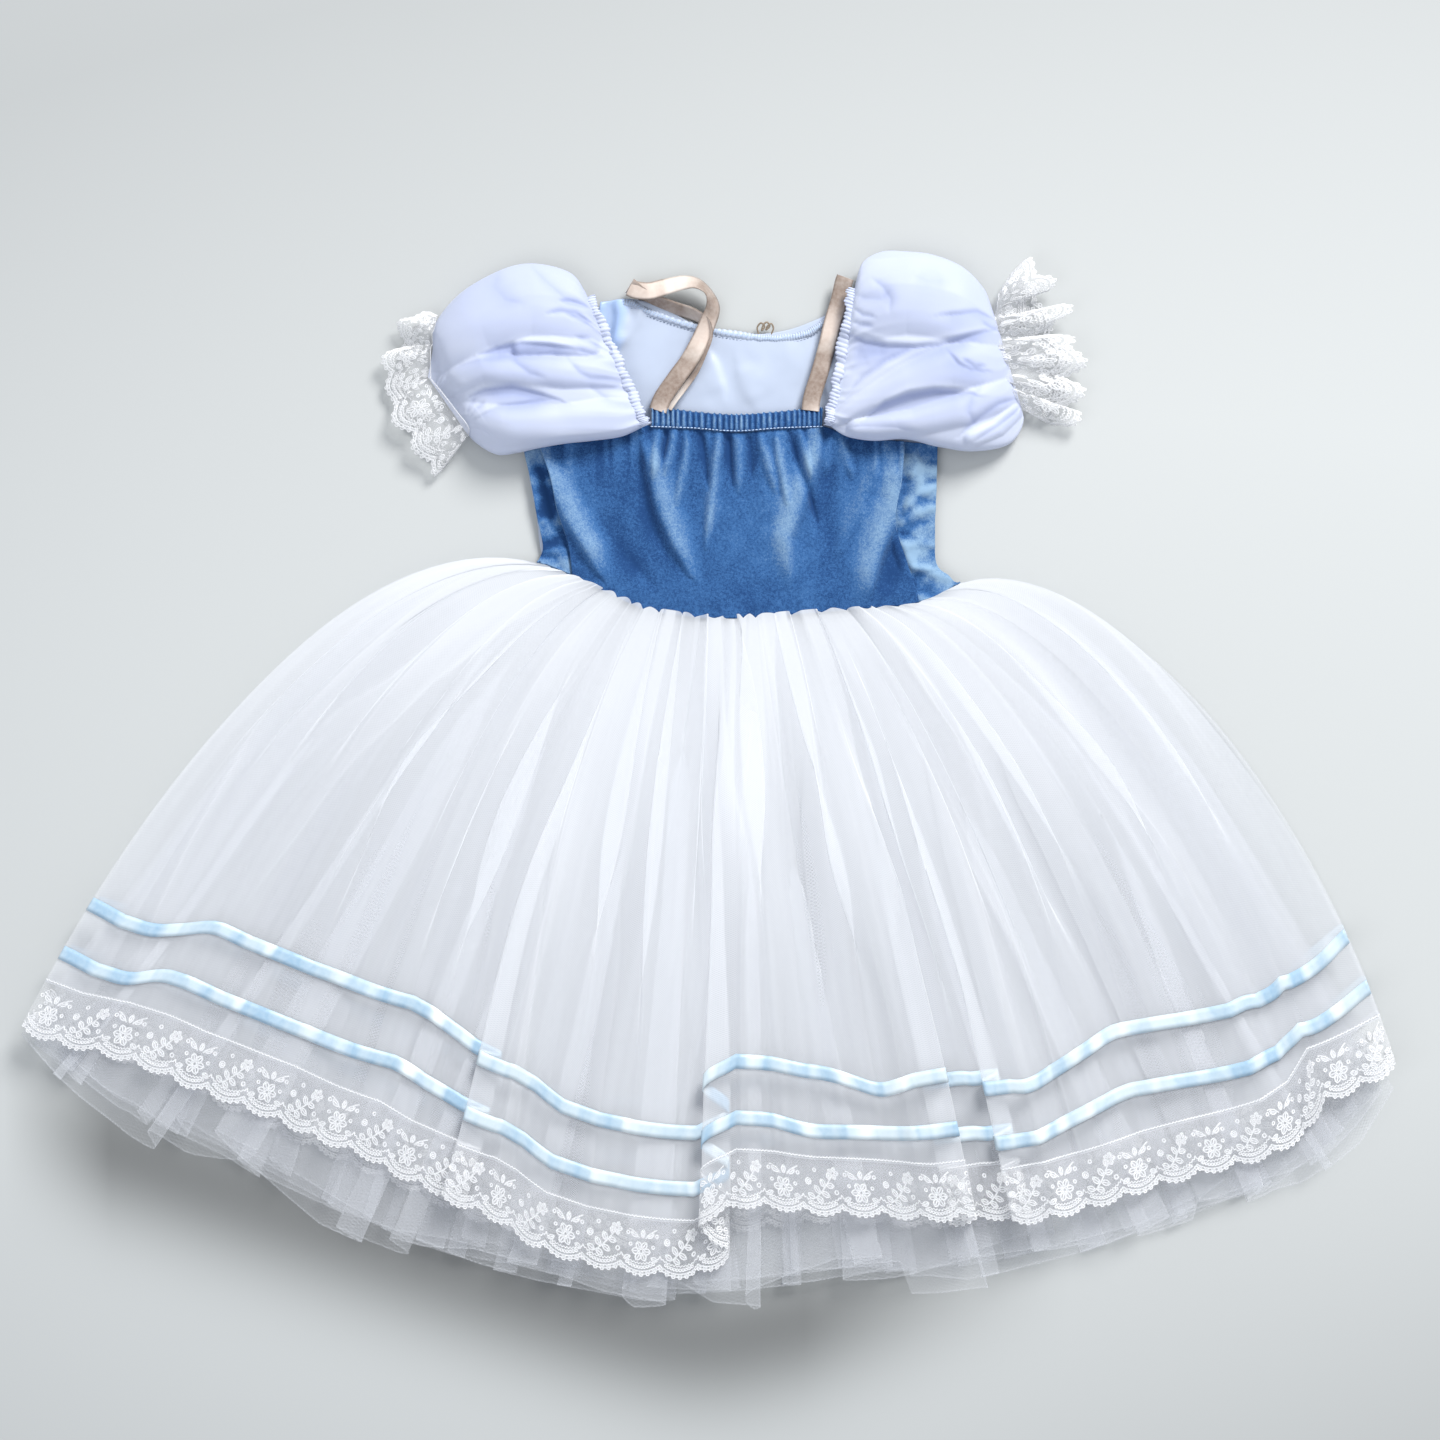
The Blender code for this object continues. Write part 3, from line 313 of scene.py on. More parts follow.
# ---- the neck's loops and the straps: x, y, z, and how far the ribbon tips up on its edge, degrees
LOOPS = (
    (34.5, 303, 3), (33.5, 307.5, 4), (36, 310.5, 5), (38.5, 308, 4.5), (36.5, 305.5, 4.5),
    (37.5, 309, 5.5), (40, 311, 5.5), (42, 308.5, 4.5), (39.5, 306, 4), (40.5, 308.5, 5),
    (43, 310, 5),
    (44.5, 307, 4), (43, 303, 3),
)
STRAP_LEFT = (
    (-34, 250.6, 9, 0), (-30.6, 259.4, 9.4, 0), (-21.8, 272.3, 9, 4), (-12.9, 284.6, 8.4, 8),
    (-5.4, 298.2, 8.2, 12), (0, 310.4, 8.8, 22), (3.4, 320.6, 10, 40), (0.7, 330.1, 12.5, 62),
    (-7.5, 336.3, 13.5, 48), (-17, 336.9, 12.5, 30), (-28.6, 334.2, 11.5, 18),
    (-39.4, 331.5, 10.5, 8),
    (-48.3, 332.2, 9, 0), (-53, 334.2, 7.8, 0),
)
STRAP_LEFT_UNDER = (
    (-53, 335.6, 6.8, 30), (-44.9, 330.1, 6.4, 48), (-34, 324.7, 6.2, 50), (-21.8, 319.9, 6.2, 48),
    (-10.9, 316.5, 6.2, 50), (-1.4, 310.4, 6, 60), (0.7, 300.9, 5.8, 66), (-3.4, 290, 5.8, 62),
    (-9.5, 277.8, 5.8, 56), (-17, 266.9, 6.2, 56), (-23.8, 257.4, 7, 60), (-27.2, 251.9, 7.6, 60),
)
STRAP_RIGHT = (
    (69.4, 250.6, 9, 0), (70.7, 260.1, 9, 4), (75.5, 275.7, 8, 10), (80.2, 292.7, 7.4, 14),
    (84.3, 309.7, 7.2, 10), (89.1, 325.4, 7.6, 6), (91.8, 336.9, 8.4, 0), (93.2, 341, 8.6, 0),
)


# ---- curves, noise and meshes --------------------------------------------------------------------
def smooth(low, high, value):
    """0 below low, 1 above high, and an S between."""
    t = np.clip((value - low) / (high - low), 0.0, 1.0)
    return t * t * (3.0 - 2.0 * t)


def mix(a, b, t):
    return a + (b - a) * t


def curve(points, t):
    """Points at t (0 to 1, an array) of a smooth curve through a list of points."""
    points = np.asarray(points, float)
    last = len(points) - 1
    place = np.clip(t, 0.0, 1.0) * last
    i = np.minimum(place.astype(int), last - 1)
    f = (place - i)[..., None]
    a, b, c, d = (points[np.clip(i + k, 0, last)] for k in (-1, 0, 1, 2))
    return 0.5 * (2 * b + (c - a) * f + (2 * a - 5 * b + 4 * c - d) * f ** 2
                  + (3 * b - a - 3 * c + d) * f ** 3)


def way_along(line, t, step):
    """The way a curve goes at t, measured a step to each side."""
    return curve(line, np.minimum(t + step, 1)) - curve(line, np.maximum(t - step, 0))


def unit(vectors):
    """Vectors made one long."""
    return vectors / np.maximum(np.linalg.norm(vectors, axis=-1, keepdims=True), 1e-9)


def rumple(x, y, seed):
    """Smooth unevenness from -1 to 1, with one hump or dip a unit across."""
    size = 61
    table = np.random.default_rng(seed).uniform(-1, 1, (size, size))
    x, y = np.broadcast_arrays(np.asarray(x, float), np.asarray(y, float))
    i, j = np.floor(x).astype(int), np.floor(y).astype(int)
    fx, fy = x - i, y - j
    fx, fy = fx * fx * (3 - 2 * fx), fy * fy * (3 - 2 * fy)
    i, j, after, above = i % size, j % size, (i + 1) % size, (j + 1) % size
    low = mix(table[i, j], table[after, j], fx)
    high = mix(table[i, above], table[after, above], fx)
    return mix(low, high, fy)


def uneven(x, y, seed, *waves):
    """Unevenness of several sizes: each wave is its height and how far apart it is in x and y."""
    return sum(height * rumple(x / across, y / down, seed + k)
               for k, (height, across, down) in enumerate(waves))


def near_line(x, y, line):
    """At points: the distance to a line, the share of the way along it, and how far right of it."""
    line = np.asarray(line, float)
    lengths = np.hypot(*np.diff(line, axis=0).T)
    best, along, offset = np.full_like(x, 1e9), np.zeros_like(x), np.zeros_like(x)
    start = 0.0
    for (ax, ay), (bx, by), length in zip(line, line[1:], lengths):
        dx, dy = (bx - ax) / length, (by - ay) / length
        t = np.clip((x - ax) * dx + (y - ay) * dy, 0, length)
        distance = np.hypot(x - ax - t * dx, y - ay - t * dy)
        nearer = distance < best
        best = np.where(nearer, distance, best)
        along = np.where(nearer, (start + t) / lengths.sum(), along)
        offset = np.where(nearer, (x - ax) * dy - (y - ay) * dx, offset)
        start += length
    return best, along, offset


def creases(x, y, table, crisp=0.0):
    """Height of listed ridges and troughs at points, and how near their sharp sides: each row
    is the height, the half width, how much sharper it is right of its line, and the line."""
    height, side = np.zeros_like(x), np.zeros_like(x)
    for rise, half_width, lean, line in table:
        best, along, offset = near_line(x, y, line)
        width = half_width * np.where(offset > 0, 1.0 / lean, lean) * (
            0.6 + 0.8 * np.sin(math.pi * along))
        away = best / width
        shape = mix(np.exp(-away ** 2), np.exp(-1.7 * away), crisp) * np.minimum(
            1.0, 3.2 * np.minimum(along + 0.12, 1.12 - along))
        height += rise * shape
        side += shape * np.tanh(offset / half_width) * np.sign(lean - 1)
    return height, side


def pillows(x, y, table):
    """Height of rounded puffs that meet in creases: each row is the height, the half width at both
    ends and the middle line."""
    height = np.zeros_like(x)
    for rise, start, end, line in table:
        best, along, _ = near_line(x, y, line)
        height = np.maximum(height, rise * (1 - (best / mix(start, end, along)) ** 2.5))
    return height


def facing(points, way):
    """How far each place of a grid leans to a way from level: 0 is level."""
    normal = unit(np.cross(np.gradient(points, axis=1), -np.gradient(points, axis=0)))
    return normal @ np.asarray(way, float) - way[2]


def sheet_object(name, points, material, uv=None, closed=False, fields=()):
    """An object from a grid of points in mm, its faces up where the grid runs right and down."""
    rows, columns = points.shape[:2]
    wide = columns if closed else columns - 1
    j, i = np.meshgrid(np.arange(rows - 1), np.arange(wide), indexing="ij")
    after = (i + 1) % columns
    faces = np.stack([(j + 1) * columns + i, (j + 1) * columns + after, j * columns + after,
                      j * columns + i], axis=-1).reshape(-1, 4)
    mesh = mesh_of(name, points.reshape(-1, 3), faces)
    if uv is not None:
        layer = mesh.uv_layers.new(name="cloth")
        corner = np.stack([uv[j + 1, i], uv[j + 1, after], uv[j, after], uv[j, i]], axis=2)
        layer.data.foreach_set("uv", (corner * MM).reshape(-1).astype(np.float32))
    for field, values in fields:
        data = mesh.attributes.new(field, "FLOAT", "POINT")
        data.data.foreach_set("value", np.asarray(values, np.float32).reshape(-1))
    return shown(name, mesh, material)


def mesh_of(name, points, faces):
    """A smooth mesh of quads or triangles from points in mm."""
    mesh = bpy.data.meshes.new(name)
    mesh.vertices.add(len(points))
    mesh.vertices.foreach_set("co", (np.asarray(points) * MM).reshape(-1).astype(np.float32))
    sides = faces.shape[1]
    mesh.loops.add(faces.size)
    mesh.loops.foreach_set("vertex_index", faces.reshape(-1).astype(np.int32))
    mesh.polygons.add(len(faces))
    mesh.polygons.foreach_set("loop_start", np.arange(0, faces.size, sides, dtype=np.int32))
    mesh.update(calc_edges=True)
    mesh.validate()
    mesh.shade_smooth()
    return mesh


def shown(name, mesh, material):
    mesh.name = name
    piece = bpy.data.objects.new(name, mesh)
    bpy.context.scene.collection.objects.link(piece)
    if material is not None:
        mesh.materials.clear()
        mesh.materials.append(material)
    return piece


def wall(piece, thickness):
    """Gives an open sheet its thickness, half to each side."""
    solid = piece.modifiers.new("wall", "SOLIDIFY")
    solid.thickness = thickness * MM
    solid.offset = 0.0
    return piece


def settle(piece, slot, *nodes):
    """Rides on the frame and stands for its nodes; its slot is not used."""
    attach(piece, "root")
    if nodes:
        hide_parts(*nodes)
    return piece


# ---- shaders -------------------------------------------------------------------------------------
def add(tree, kind, values=None, **settings):
    """A node with its settings, its sockets given values or linked to other nodes' outputs."""
    node = tree.nodes.new(kind)
    for key, value in settings.items():
        setattr(node, key, value)
    for key, value in (values or {}).items():
        if isinstance(value, bpy.types.NodeSocket):
            tree.links.new(value, node.inputs[key])
        else:
            node.inputs[key].default_value = value
    return node


def new_tree(name):
    material = bpy.data.materials.new(name)
    material.use_nodes = True
    material.node_tree.nodes.clear()
    return material, material.node_tree


def finished(material, shader):
    add(material.node_tree, "ShaderNodeOutputMaterial", {"Surface": shader})
    return material


def maths(tree, kind, a, b=0.5, c=0.0, clamp=False):
    node = add(tree, "ShaderNodeMath", {0: a, 1: b, 2: c}, operation=kind, use_clamp=clamp)
    return node.outputs[0]


def cloth_uv(tree, scale=(1000, 1000, 1000), turn=0.0):
    """The cloth's own coordinates in mm, times a scale, turned by an angle."""
    uv = add(tree, "ShaderNodeUVMap", uv_map="cloth").outputs[0]
    return add(tree, "ShaderNodeMapping", {"Vector": uv, "Scale": scale,
                                           "Rotation": (0, 0, turn)}).outputs[0]


def solid_mm(tree):
    """The piece's own place in mm."""
    place = add(tree, "ShaderNodeTexCoord").outputs["Object"]
    return add(tree, "ShaderNodeMapping", {"Vector": place, "Scale": (1000,) * 3}).outputs[0]


def noise(tree, place, scale, detail=2.0, roughness=0.5):
    return add(tree, "ShaderNodeTexNoise", {"Vector": place, "Scale": scale, "Detail": detail,
                                            "Roughness": roughness}).outputs["Fac"]


def ramp(tree, value, low, high, dark=0.0, light=1.0):
    return add(tree, "ShaderNodeMapRange", {"Value": value, "From Min": low, "From Max": high,
                                            "To Min": dark, "To Max": light}).outputs[0]


def blend_colour(tree, fac, a, b):
    node = add(tree, "ShaderNodeMix", {"Factor": fac}, data_type="RGBA")
    for index, value in ((6, a), (7, b)):
        if isinstance(value, bpy.types.NodeSocket):
            tree.links.new(value, node.inputs[index])
        else:
            node.inputs[index].default_value = (*value[:3], 1.0)
    return node.outputs[2]


def bump(tree, height, strength, distance):
    return add(tree, "ShaderNodeBump", {"Height": height, "Strength": strength,
                                        "Distance": distance * MM}).outputs[0]


def threads(tree, place, pitch):
    """The distance of two crossing sets of threads, 1 on a thread and 0 in a hole."""
    parts = add(tree, "ShaderNodeSeparateXYZ", {0: place}).outputs
    turns = [maths(tree, "MULTIPLY", part, math.pi / pitch) for part in (parts[0], parts[1])]
    waves = [maths(tree, "ABSOLUTE", maths(tree, "SINE", turn)) for turn in turns]
    return maths(tree, "SUBTRACT", 1.0, maths(tree, "MULTIPLY", waves[0], waves[1]))


def sheer(name, colour, cover, mesh_pitch, mesh_depth, through):
    """A sheer cloth: threads in a fine mesh, denser where the cloth turns edge on or is doubled."""
    material, tree = new_tree(name)
    cell = ramp(tree, threads(tree, cloth_uv(tree, turn=math.pi / 4), mesh_pitch), 0.25, 0.95,
                cover * (1.0 - mesh_depth), cover * (1.0 + mesh_depth))
    dense = attribute(tree, "dense")
    share = maths(tree, "MULTIPLY", cell, dense, clamp=True)
    tint = blend_colour(tree, dense, darker(colour, 0.96), colour)
    front = add(tree, "ShaderNodeBsdfDiffuse", {"Color": tint, "Roughness": 0.8}).outputs[0]
    clear = add(tree, "ShaderNodeBsdfTransparent").outputs[0]
    return finished(material, add(tree, "ShaderNodeMixShader", {
        0: share, 1: clear, 2: let_through(tree, through, front, tint)}).outputs[0])


def satin(name, colour, dark, glint, wave, edge_shade, shine=0.32):
    """A satin ribbon: its gloss comes and goes along it, with a painted sway between its shaded and
    its own colour and painted glints, and its edges may get painted shade.
    """
    material, tree = new_tree(name)
    # painted light: the colour sways along the ribbon between its shaded copy and its own colour
    sway = noise(tree, cloth_uv(tree, (wave, 9, 1000), 0.25), 1.0, 2.0, 0.45)
    sway = ramp(tree, sway, 0.40, 0.62)
    # painted glints that come and go along the ribbon
    painted_glint = noise(tree, cloth_uv(tree, (wave * 1.2, 16, 1000), 0.3), 1.0, 1.5, 0.4)
    painted_glint = ramp(tree, painted_glint, 0.5, 0.76)
    across = add(tree, "ShaderNodeSeparateXYZ", {0: cloth_uv(tree)}).outputs[1]
    weave = noise(tree, cloth_uv(tree, (400, 400, 1000)), 1.0, 2.0)
    tint = blend_colour(tree, sway, dark, colour)
    # painted shade along the edges, in a darker copy of the shaded colour
    if edge_shade:
        middle = ramp(tree, maths(tree, "ABSOLUTE", across), 5.9, 4.6, 0.0, edge_shade)
        tint = blend_colour(tree, middle, darker(dark, 0.9), tint)
    tint = blend_colour(tree, painted_glint, tint, glint)
    tint = blend_colour(tree, ramp(tree, weave, 0.3, 0.7, 0.0, 0.12), tint, glint)
    dullness = ramp(tree, painted_glint, 0.0, 1.0, shine + 0.1, shine - 0.05)
    return finished(material, principled(tree, tint, dullness, bump(tree, sway, 0.2, 0.3),
                                         Anisotropic=0.5, Sheen_Weight=0.1))


# ---- the skirt's surfaces ------------------------------------------------------------------------
def fan_table():
    """The fan's lines from waist to mean hem at even steps, and the length of each."""
    sides = np.linspace(-1, 1, FAN_SIDES)
    fan = np.asarray(FAN, float)
    soften = np.hanning(13)[1:-1] / np.hanning(13).sum()

    def softened(values):
        padded = np.pad(values, 5, mode="reflect", reflect_type="odd")
        return np.convolve(padded, soften, "valid")

    waist_x, waist_y, hem_y = (softened(np.interp(sides, fan[:, 0], fan[:, k])) for k in (1, 2, 3))
    weight = np.abs(sides)[:, None]
    leave, arrive = (
        mix(np.asarray(middle, float), np.where(sides[:, None] < 0, left, right), weight)
        for middle, left, right in ((LEAVE_MIDDLE, LEAVE_LEFT, LEAVE_RIGHT),
                                    (ARRIVE_MIDDLE, ARRIVE_LEFT, ARRIVE_RIGHT)))
    start, end = np.stack([waist_x, waist_y], 1), np.stack([sides * HALF_WIDTH, hem_y], 1)
    t = np.linspace(0, 1, 61)[:, None, None]
    line = ((1 - t) ** 3 * start + 3 * t * (1 - t) ** 2 * (start + leave)
            + 3 * t * t * (1 - t) * (end + arrive) + t ** 3 * end)
    steps = np.hypot(*np.moveaxis(np.diff(line, axis=0), 2, 0))
    along = np.concatenate([np.zeros((1, FAN_SIDES)), np.cumsum(steps, 0)])
    even = np.stack([
        np.stack([np.interp(np.linspace(0, along[-1, k], FAN_DOWN), along[:, k], line[:, k, axis])
                  for axis in (0, 1)], 1) for k in range(FAN_SIDES)])
    return even, along[-1]


FAN_POINTS, FAN_LENGTHS = fan_table()


def fan_length(side):
    return np.interp(side, np.linspace(-1, 1, FAN_SIDES), FAN_LENGTHS)


def fan_at(side, distance):
    """The place in plan at a distance from the waist down one of the fan's lines."""
    inside = np.clip(side, -1, 1)
    place = (inside + 1) * (FAN_SIDES // 2)
    i = np.clip(place.astype(int), 0, FAN_SIDES - 2)
    step = distance / fan_length(inside) * (FAN_DOWN - 1)
    j = np.clip(np.floor(step).astype(int), 0, FAN_DOWN - 2)
    f, g = (place - i)[..., None], (step - j)[..., None]
    point = mix(mix(FAN_POINTS[i, j], FAN_POINTS[i, j + 1], g),
                mix(FAN_POINTS[i + 1, j], FAN_POINTS[i + 1, j + 1], g), f)
    return point[..., 0] + (side - inside) * HALF_WIDTH, point[..., 1]


class Panel:
    """One layer of the skirt: its hem, pleats and small waves, as a surface to lay cloth on."""

    def __init__(self, layer, hem, pleats, streaks, seed, wave, gather):
        self.layer, self.pleats, self.streaks = layer, pleats, streaks
        self.seed, self.wave, self.gather = seed, wave, gather
        self.hem = np.asarray(hem, float)
        self.start, self.end = self.hem[0, 0], self.hem[-1, 0]

    def length(self, across):
        return fan_length(across / HALF_WIDTH) + np.interp(across, self.hem[:, 0], self.hem[:, 1])

    def lay(self, across, along):
        """Where the cloth at a place across the hem lies once pleated, its height and looseness."""
        laid, height, slope = across.copy(), np.zeros_like(across), np.ones_like(across)
        for p in self.pleats:
            weight = smooth(p.opens, p.full, along) * (1 - smooth(p.fades, p.gone, along))
            x = (across - p.across - p.drift * (1 - along)) / p.half_width
            inner = np.where(np.abs(x) < 1, 1 - x * x, 0.0)
            laid = laid - weight * p.turn * p.half_width * x * inner ** 2
            slope = slope - weight * p.turn * inner * (1 - 5 * x * x) * (np.abs(x) < 1)
            over = smooth(-0.55, 0.55, x * p.on_top) * (1 - smooth(0.5, 2.6, x * p.on_top))
            height = height + weight * p.height * over
        return laid, height, slope

    def at(self, across, rise=None, along=None):
        """A point in mm, at a rise over the hem or at a share of the way down from the waist."""
        across = np.asarray(across, float)
        length = self.length(across)
        along = 1 - rise / length if along is None else np.asarray(along, float)
        across, along = np.broadcast_arrays(across, along)
        laid, height, _ = self.lay(across, along)
        sway = 5.0 * rumple(across / 60, along * 2.3 + 7, self.seed) * smooth(0.05, 0.5, along)
        if 0 < self.layer < FRONT_LAYER:
            laid = laid * (1 - 0.05 * np.sin(math.pi * np.clip(along, 0, 1)))
        x, y = fan_at((laid + sway) / HALF_WIDTH, along * self.length(across))
        parted = smooth(0.1, 0.66, along)
        base = mix(WALL / 2 + self.layer * WAIST_STEP, WALL * 1.5 + 0.45 + self.layer * HEM_STEP,
                   parted)
        lift = np.interp(across, self.hem[:, 0], self.hem[:, 2]) * smooth(0.12, 0.6, along)
        waves = (rumple(across / 24, along * 2.1, self.seed + 1)
                 + 0.6 * rumple(across / 11, along * 1.5, self.seed + 2))
        ripple = self.wave * smooth(0.15, 0.9, along) * waves
        near = np.exp(-along * length / 46.0)
        tuck = self.gather * near * (0.5 + 0.5 * rumple(across / 15 + 3, along * 3, self.seed + 3))
        tuck = tuck + self.gather * 0.9 * np.exp(-along * length / 16.0) * (
            0.5 + 0.5 * rumple(across / 26, along, self.seed + 4))
        z = np.maximum(base + lift + height + ripple + tuck, SKIRT_LOW)
        return np.stack([x, y, z], axis=-1)

    def outward(self, across, rise):
        """The cloth's outer side at a point: it turns over with the cloth in a fold."""
        sideways = self.at(across + 0.6, rise) - self.at(across - 0.6, rise)
        upward = self.at(across, rise + 1.0) - self.at(across, rise - 1.0)
        return unit(np.cross(sideways, upward))

    def dense(self, across, along):
        """How much thicker the cloth looks: gathered near the waist, and edge on along a crease."""
        laid, _, slope = self.lay(across, along)
        length = self.length(across)
        x0, y0 = fan_at((across - 3) / HALF_WIDTH, along * length)
        x1, y1 = fan_at((across + 3) / HALF_WIDTH, along * length)
        gathered = np.clip(6.0 / np.maximum(np.hypot(x1 - x0, y1 - y0), 0.5), 0.8, 2.3)
        crease = 1.0 + 1.1 * np.exp(-(slope / 0.35) ** 2)
        cloud = (1 + 0.14 * rumple(across / 30, along * 4, self.seed + 6)
                 + 0.1 * rumple(across / 5, along * 5, 5))
        bands = np.zeros_like(laid)
        for s in self.streaks:
            x = (across - s.across - s.drift * (1 - along)) * s.sense
            reach = smooth(s.opens, s.opens + 0.25, along)
            reach = reach * (1 - smooth(s.gone - 0.3, s.gone, along))
            band = smooth(-0.8, 0.8, x) * np.exp(-(np.maximum(x, 0) / s.width) ** 2)
            line = 0.7 * np.exp(-(x / 1.3) ** 2) * (s.weight > 0)
            bands += s.weight * reach * (band + line)
        edge = 1 + 0.45 * smooth(0.68, 1.0, np.abs(across) / HALF_WIDTH)
        return gathered * crease * cloud * edge * np.maximum(1 + bands, 0.45)

    def cloth_run(self, rise):
        """Places across the hem and the cloth's own length up to each, at a rise."""
        across = np.linspace(self.start, self.end, 3001)
        step = np.linalg.norm(np.diff(self.at(across, rise), axis=0), axis=1)
        return across, np.concatenate([[0], np.cumsum(step)])


# A band where the cloth looks thicker: its crisp edge across the hem, its width, the way it fades,
# where it opens and is gone along the skirt, how strong it is, and its drift.
Streak = namedtuple("Streak", "across width sense opens gone weight drift")


def scatter_streaks(seed, spacing, width, weight):
    """Uneven soft bands from one side of a layer to the other."""
    chance = np.random.default_rng(seed)
    streaks, across = [], -HALF_WIDTH + 6
    while across < HALF_WIDTH - 6:
        opens = chance.uniform(-0.4, 0.35)
        streaks.append(Streak(
            across, chance.uniform(*width), chance.choice((-1, 1)), opens,
            opens + chance.uniform(0.55, 0.95), chance.uniform(*weight), chance.uniform(-60, 60)))
        across += chance.uniform(*spacing)
    return tuple(streaks)


def scatter_pleats(seed, start, end, spacing, half_width, turn, opens, fades, height, hem=False):
    """Uneven pleats from one side of a panel to the other."""
    chance = np.random.default_rng(seed)
    pleats, across = [], start + chance.uniform(4, 14)
    while across < end:
        fade = 2.0 if hem else chance.uniform(*fades)
        start_at = chance.uniform(*opens)
        pleats.append(Pleat(
            across, chance.uniform(*half_width), chance.uniform(*turn),
            1 if chance.random() < 0.55 else -1,
            start_at, start_at + chance.uniform(0.1, 0.35), fade, fade + chance.uniform(0.28, 0.36),
            chance.uniform(*height), chance.uniform(-40, 40)))
        across += chance.uniform(*spacing)
    return tuple(pleats)


# How a layer's pleats vary: their spacing (but for the front nets), half width, turn, where they
# open and fade, their height, and whether they reach the hem.
SMALL_PLEATS = ((17, 38), (12, 26), (0.9, 1.8), (-0.3, 0.15), (0.25, 0.5), (0.5, 1.4))
FRONT_NET_PLEATS = ((14, 34), (1.7, 3.4), (-0.05, 0.34), (0.6, 0.7), (0.8, 1.6), True)
BACK_NET_PLEATS = ((36, 70), (9, 18), (1.8, 4.0), (-0.05, 0.3), (0.6, 0.7), (0.8, 1.4), True)
BACK_PLEATS = ((24, 50), (8, 14), (1.6, 3.6), (-0.05, 0.3), (0.4, 0.62), (0.4, 1.0))


def skirt_panels():
    """The six layers, from the tulle on top to the back on the floor: each one's place in the pile,
    hem, pleats, streaks (seed, spacing, width, weight), seed, waves and gathers."""
    small = scatter_pleats(11, -452, 452, *SMALL_PLEATS)
    clear = tuple(p for p in small if all(abs(p.across - f.across) > 6 for f in BIG_FOLDS))
    net = (-440, 440)
    return {name: Panel(layer, hem, pleats, scatter_streaks(*streaks), seed, wave, gather)
            for name, layer, hem, pleats, streaks, seed, wave, gather in (
        ("skirt_front", 5, FRONT_HEM, BIG_FOLDS + clear,
         (81, (8, 22), (5, 26), (-0.42, 0.62)), 21, 0.9, 1.5),
        ("net_front_outer", 4, NET_FRONT_OUTER,
         scatter_pleats(12, *net, (36, 84), *FRONT_NET_PLEATS),
         (82, (14, 34), (5, 26), (-0.3, 0.45)), 31, 0.6, 0.5),
        ("net_front_inner", 3, NET_FRONT_INNER,
         scatter_pleats(13, *net, (34, 78), *FRONT_NET_PLEATS),
         (83, (18, 40), (5, 26), (-0.3, 0.45)), 41, 0.6, 0.5),
        ("net_back_inner", 2, NET_BACK_INNER, scatter_pleats(14, *net, *BACK_NET_PLEATS),
         (84, (24, 50), (5, 26), (-0.2, 0.3)), 51, 0.5, 0.4),
        ("net_back_outer", 1, NET_BACK_OUTER, scatter_pleats(15, *net, *BACK_NET_PLEATS),
         (85, (24, 50), (5, 26), (-0.2, 0.3)), 61, 0.5, 0.4),
        ("skirt_back", 0, BACK_HEM, scatter_pleats(16, *net, *BACK_PLEATS),
         (86, (16, 40), (5, 26), (-0.2, 0.4)), 71, 0.15, 0.2))}


PANELS = skirt_panels()


def lay_panel(name, columns, rows, end_rise, material):
    """A skirt layer's cloth from just over the waist seam to its end above the hem."""
    panel = PANELS[name]
    across = np.linspace(panel.start, panel.end, columns)[None, :]
    length = panel.length(across)
    frill = 3.0 * np.abs(np.sin(across / 13.0 + 1.5 * rumple(across / 40, 0, panel.seed + 5))) + 1.0
    top = -frill / length if panel.layer == FRONT_LAYER else 0.0 * length
    down = np.linspace(0, 1, rows)[:, None] ** 1.08
    down[-2] = 0.9965     # a narrow last row, for the cut edge's brighter line
    along = mix(top, 1 - end_rise / length, down)
    across = np.broadcast_to(across, along.shape)
    points = panel.at(across, along=along)
    dense = panel.dense(across, np.maximum(along, 0))
    if not end_rise:      # a net: it thins out towards its cut edge
        dense = dense * (1 - 0.3 * smooth(0.78, 0.92, along))
    dense[-1] *= 2.2
    uv = np.stack([across, along * length], axis=-1)
    return sheet_object(name, points, material, uv, fields=[("dense", dense)])


# Where the front's ribbons sag or ride up with the cloth: across the hem, and mm up
RIBBON_SAG = {
    "ribbon_upper_front": (
        (-466, 0), (-418, -7), (-398, 0), (-380, 8), (-300, 7), (-215, 12), (-180, 4), (-165, 0),
        (60, 0),
        (92, -2), (128, -12), (160, 0), (190, 0), (215, -3), (235, -8), (262, 0), (305, 11),
        (380, 5),
        (402, 2), (418, -13), (436, -12), (452, -8), (466, 0)),
    "ribbon_lower_front": (
        (-466, 0), (-416, -6), (-399, 4), (-290, 3), (-222, 8), (-180, 3), (-165, 0), (50, 0),
        (80, -4),
        (135, -2), (160, 1), (190, 0), (230, -5), (262, 2), (298, 8), (365, 3), (405, 0),
        (425, -10),
        (448, -6), (466, 0)),
}


RIBBON_COLUMNS, RIBBON_ROWS = 760, 4
RIBBON_LIFT = 0.8     # of a ribbon over the tulle under it


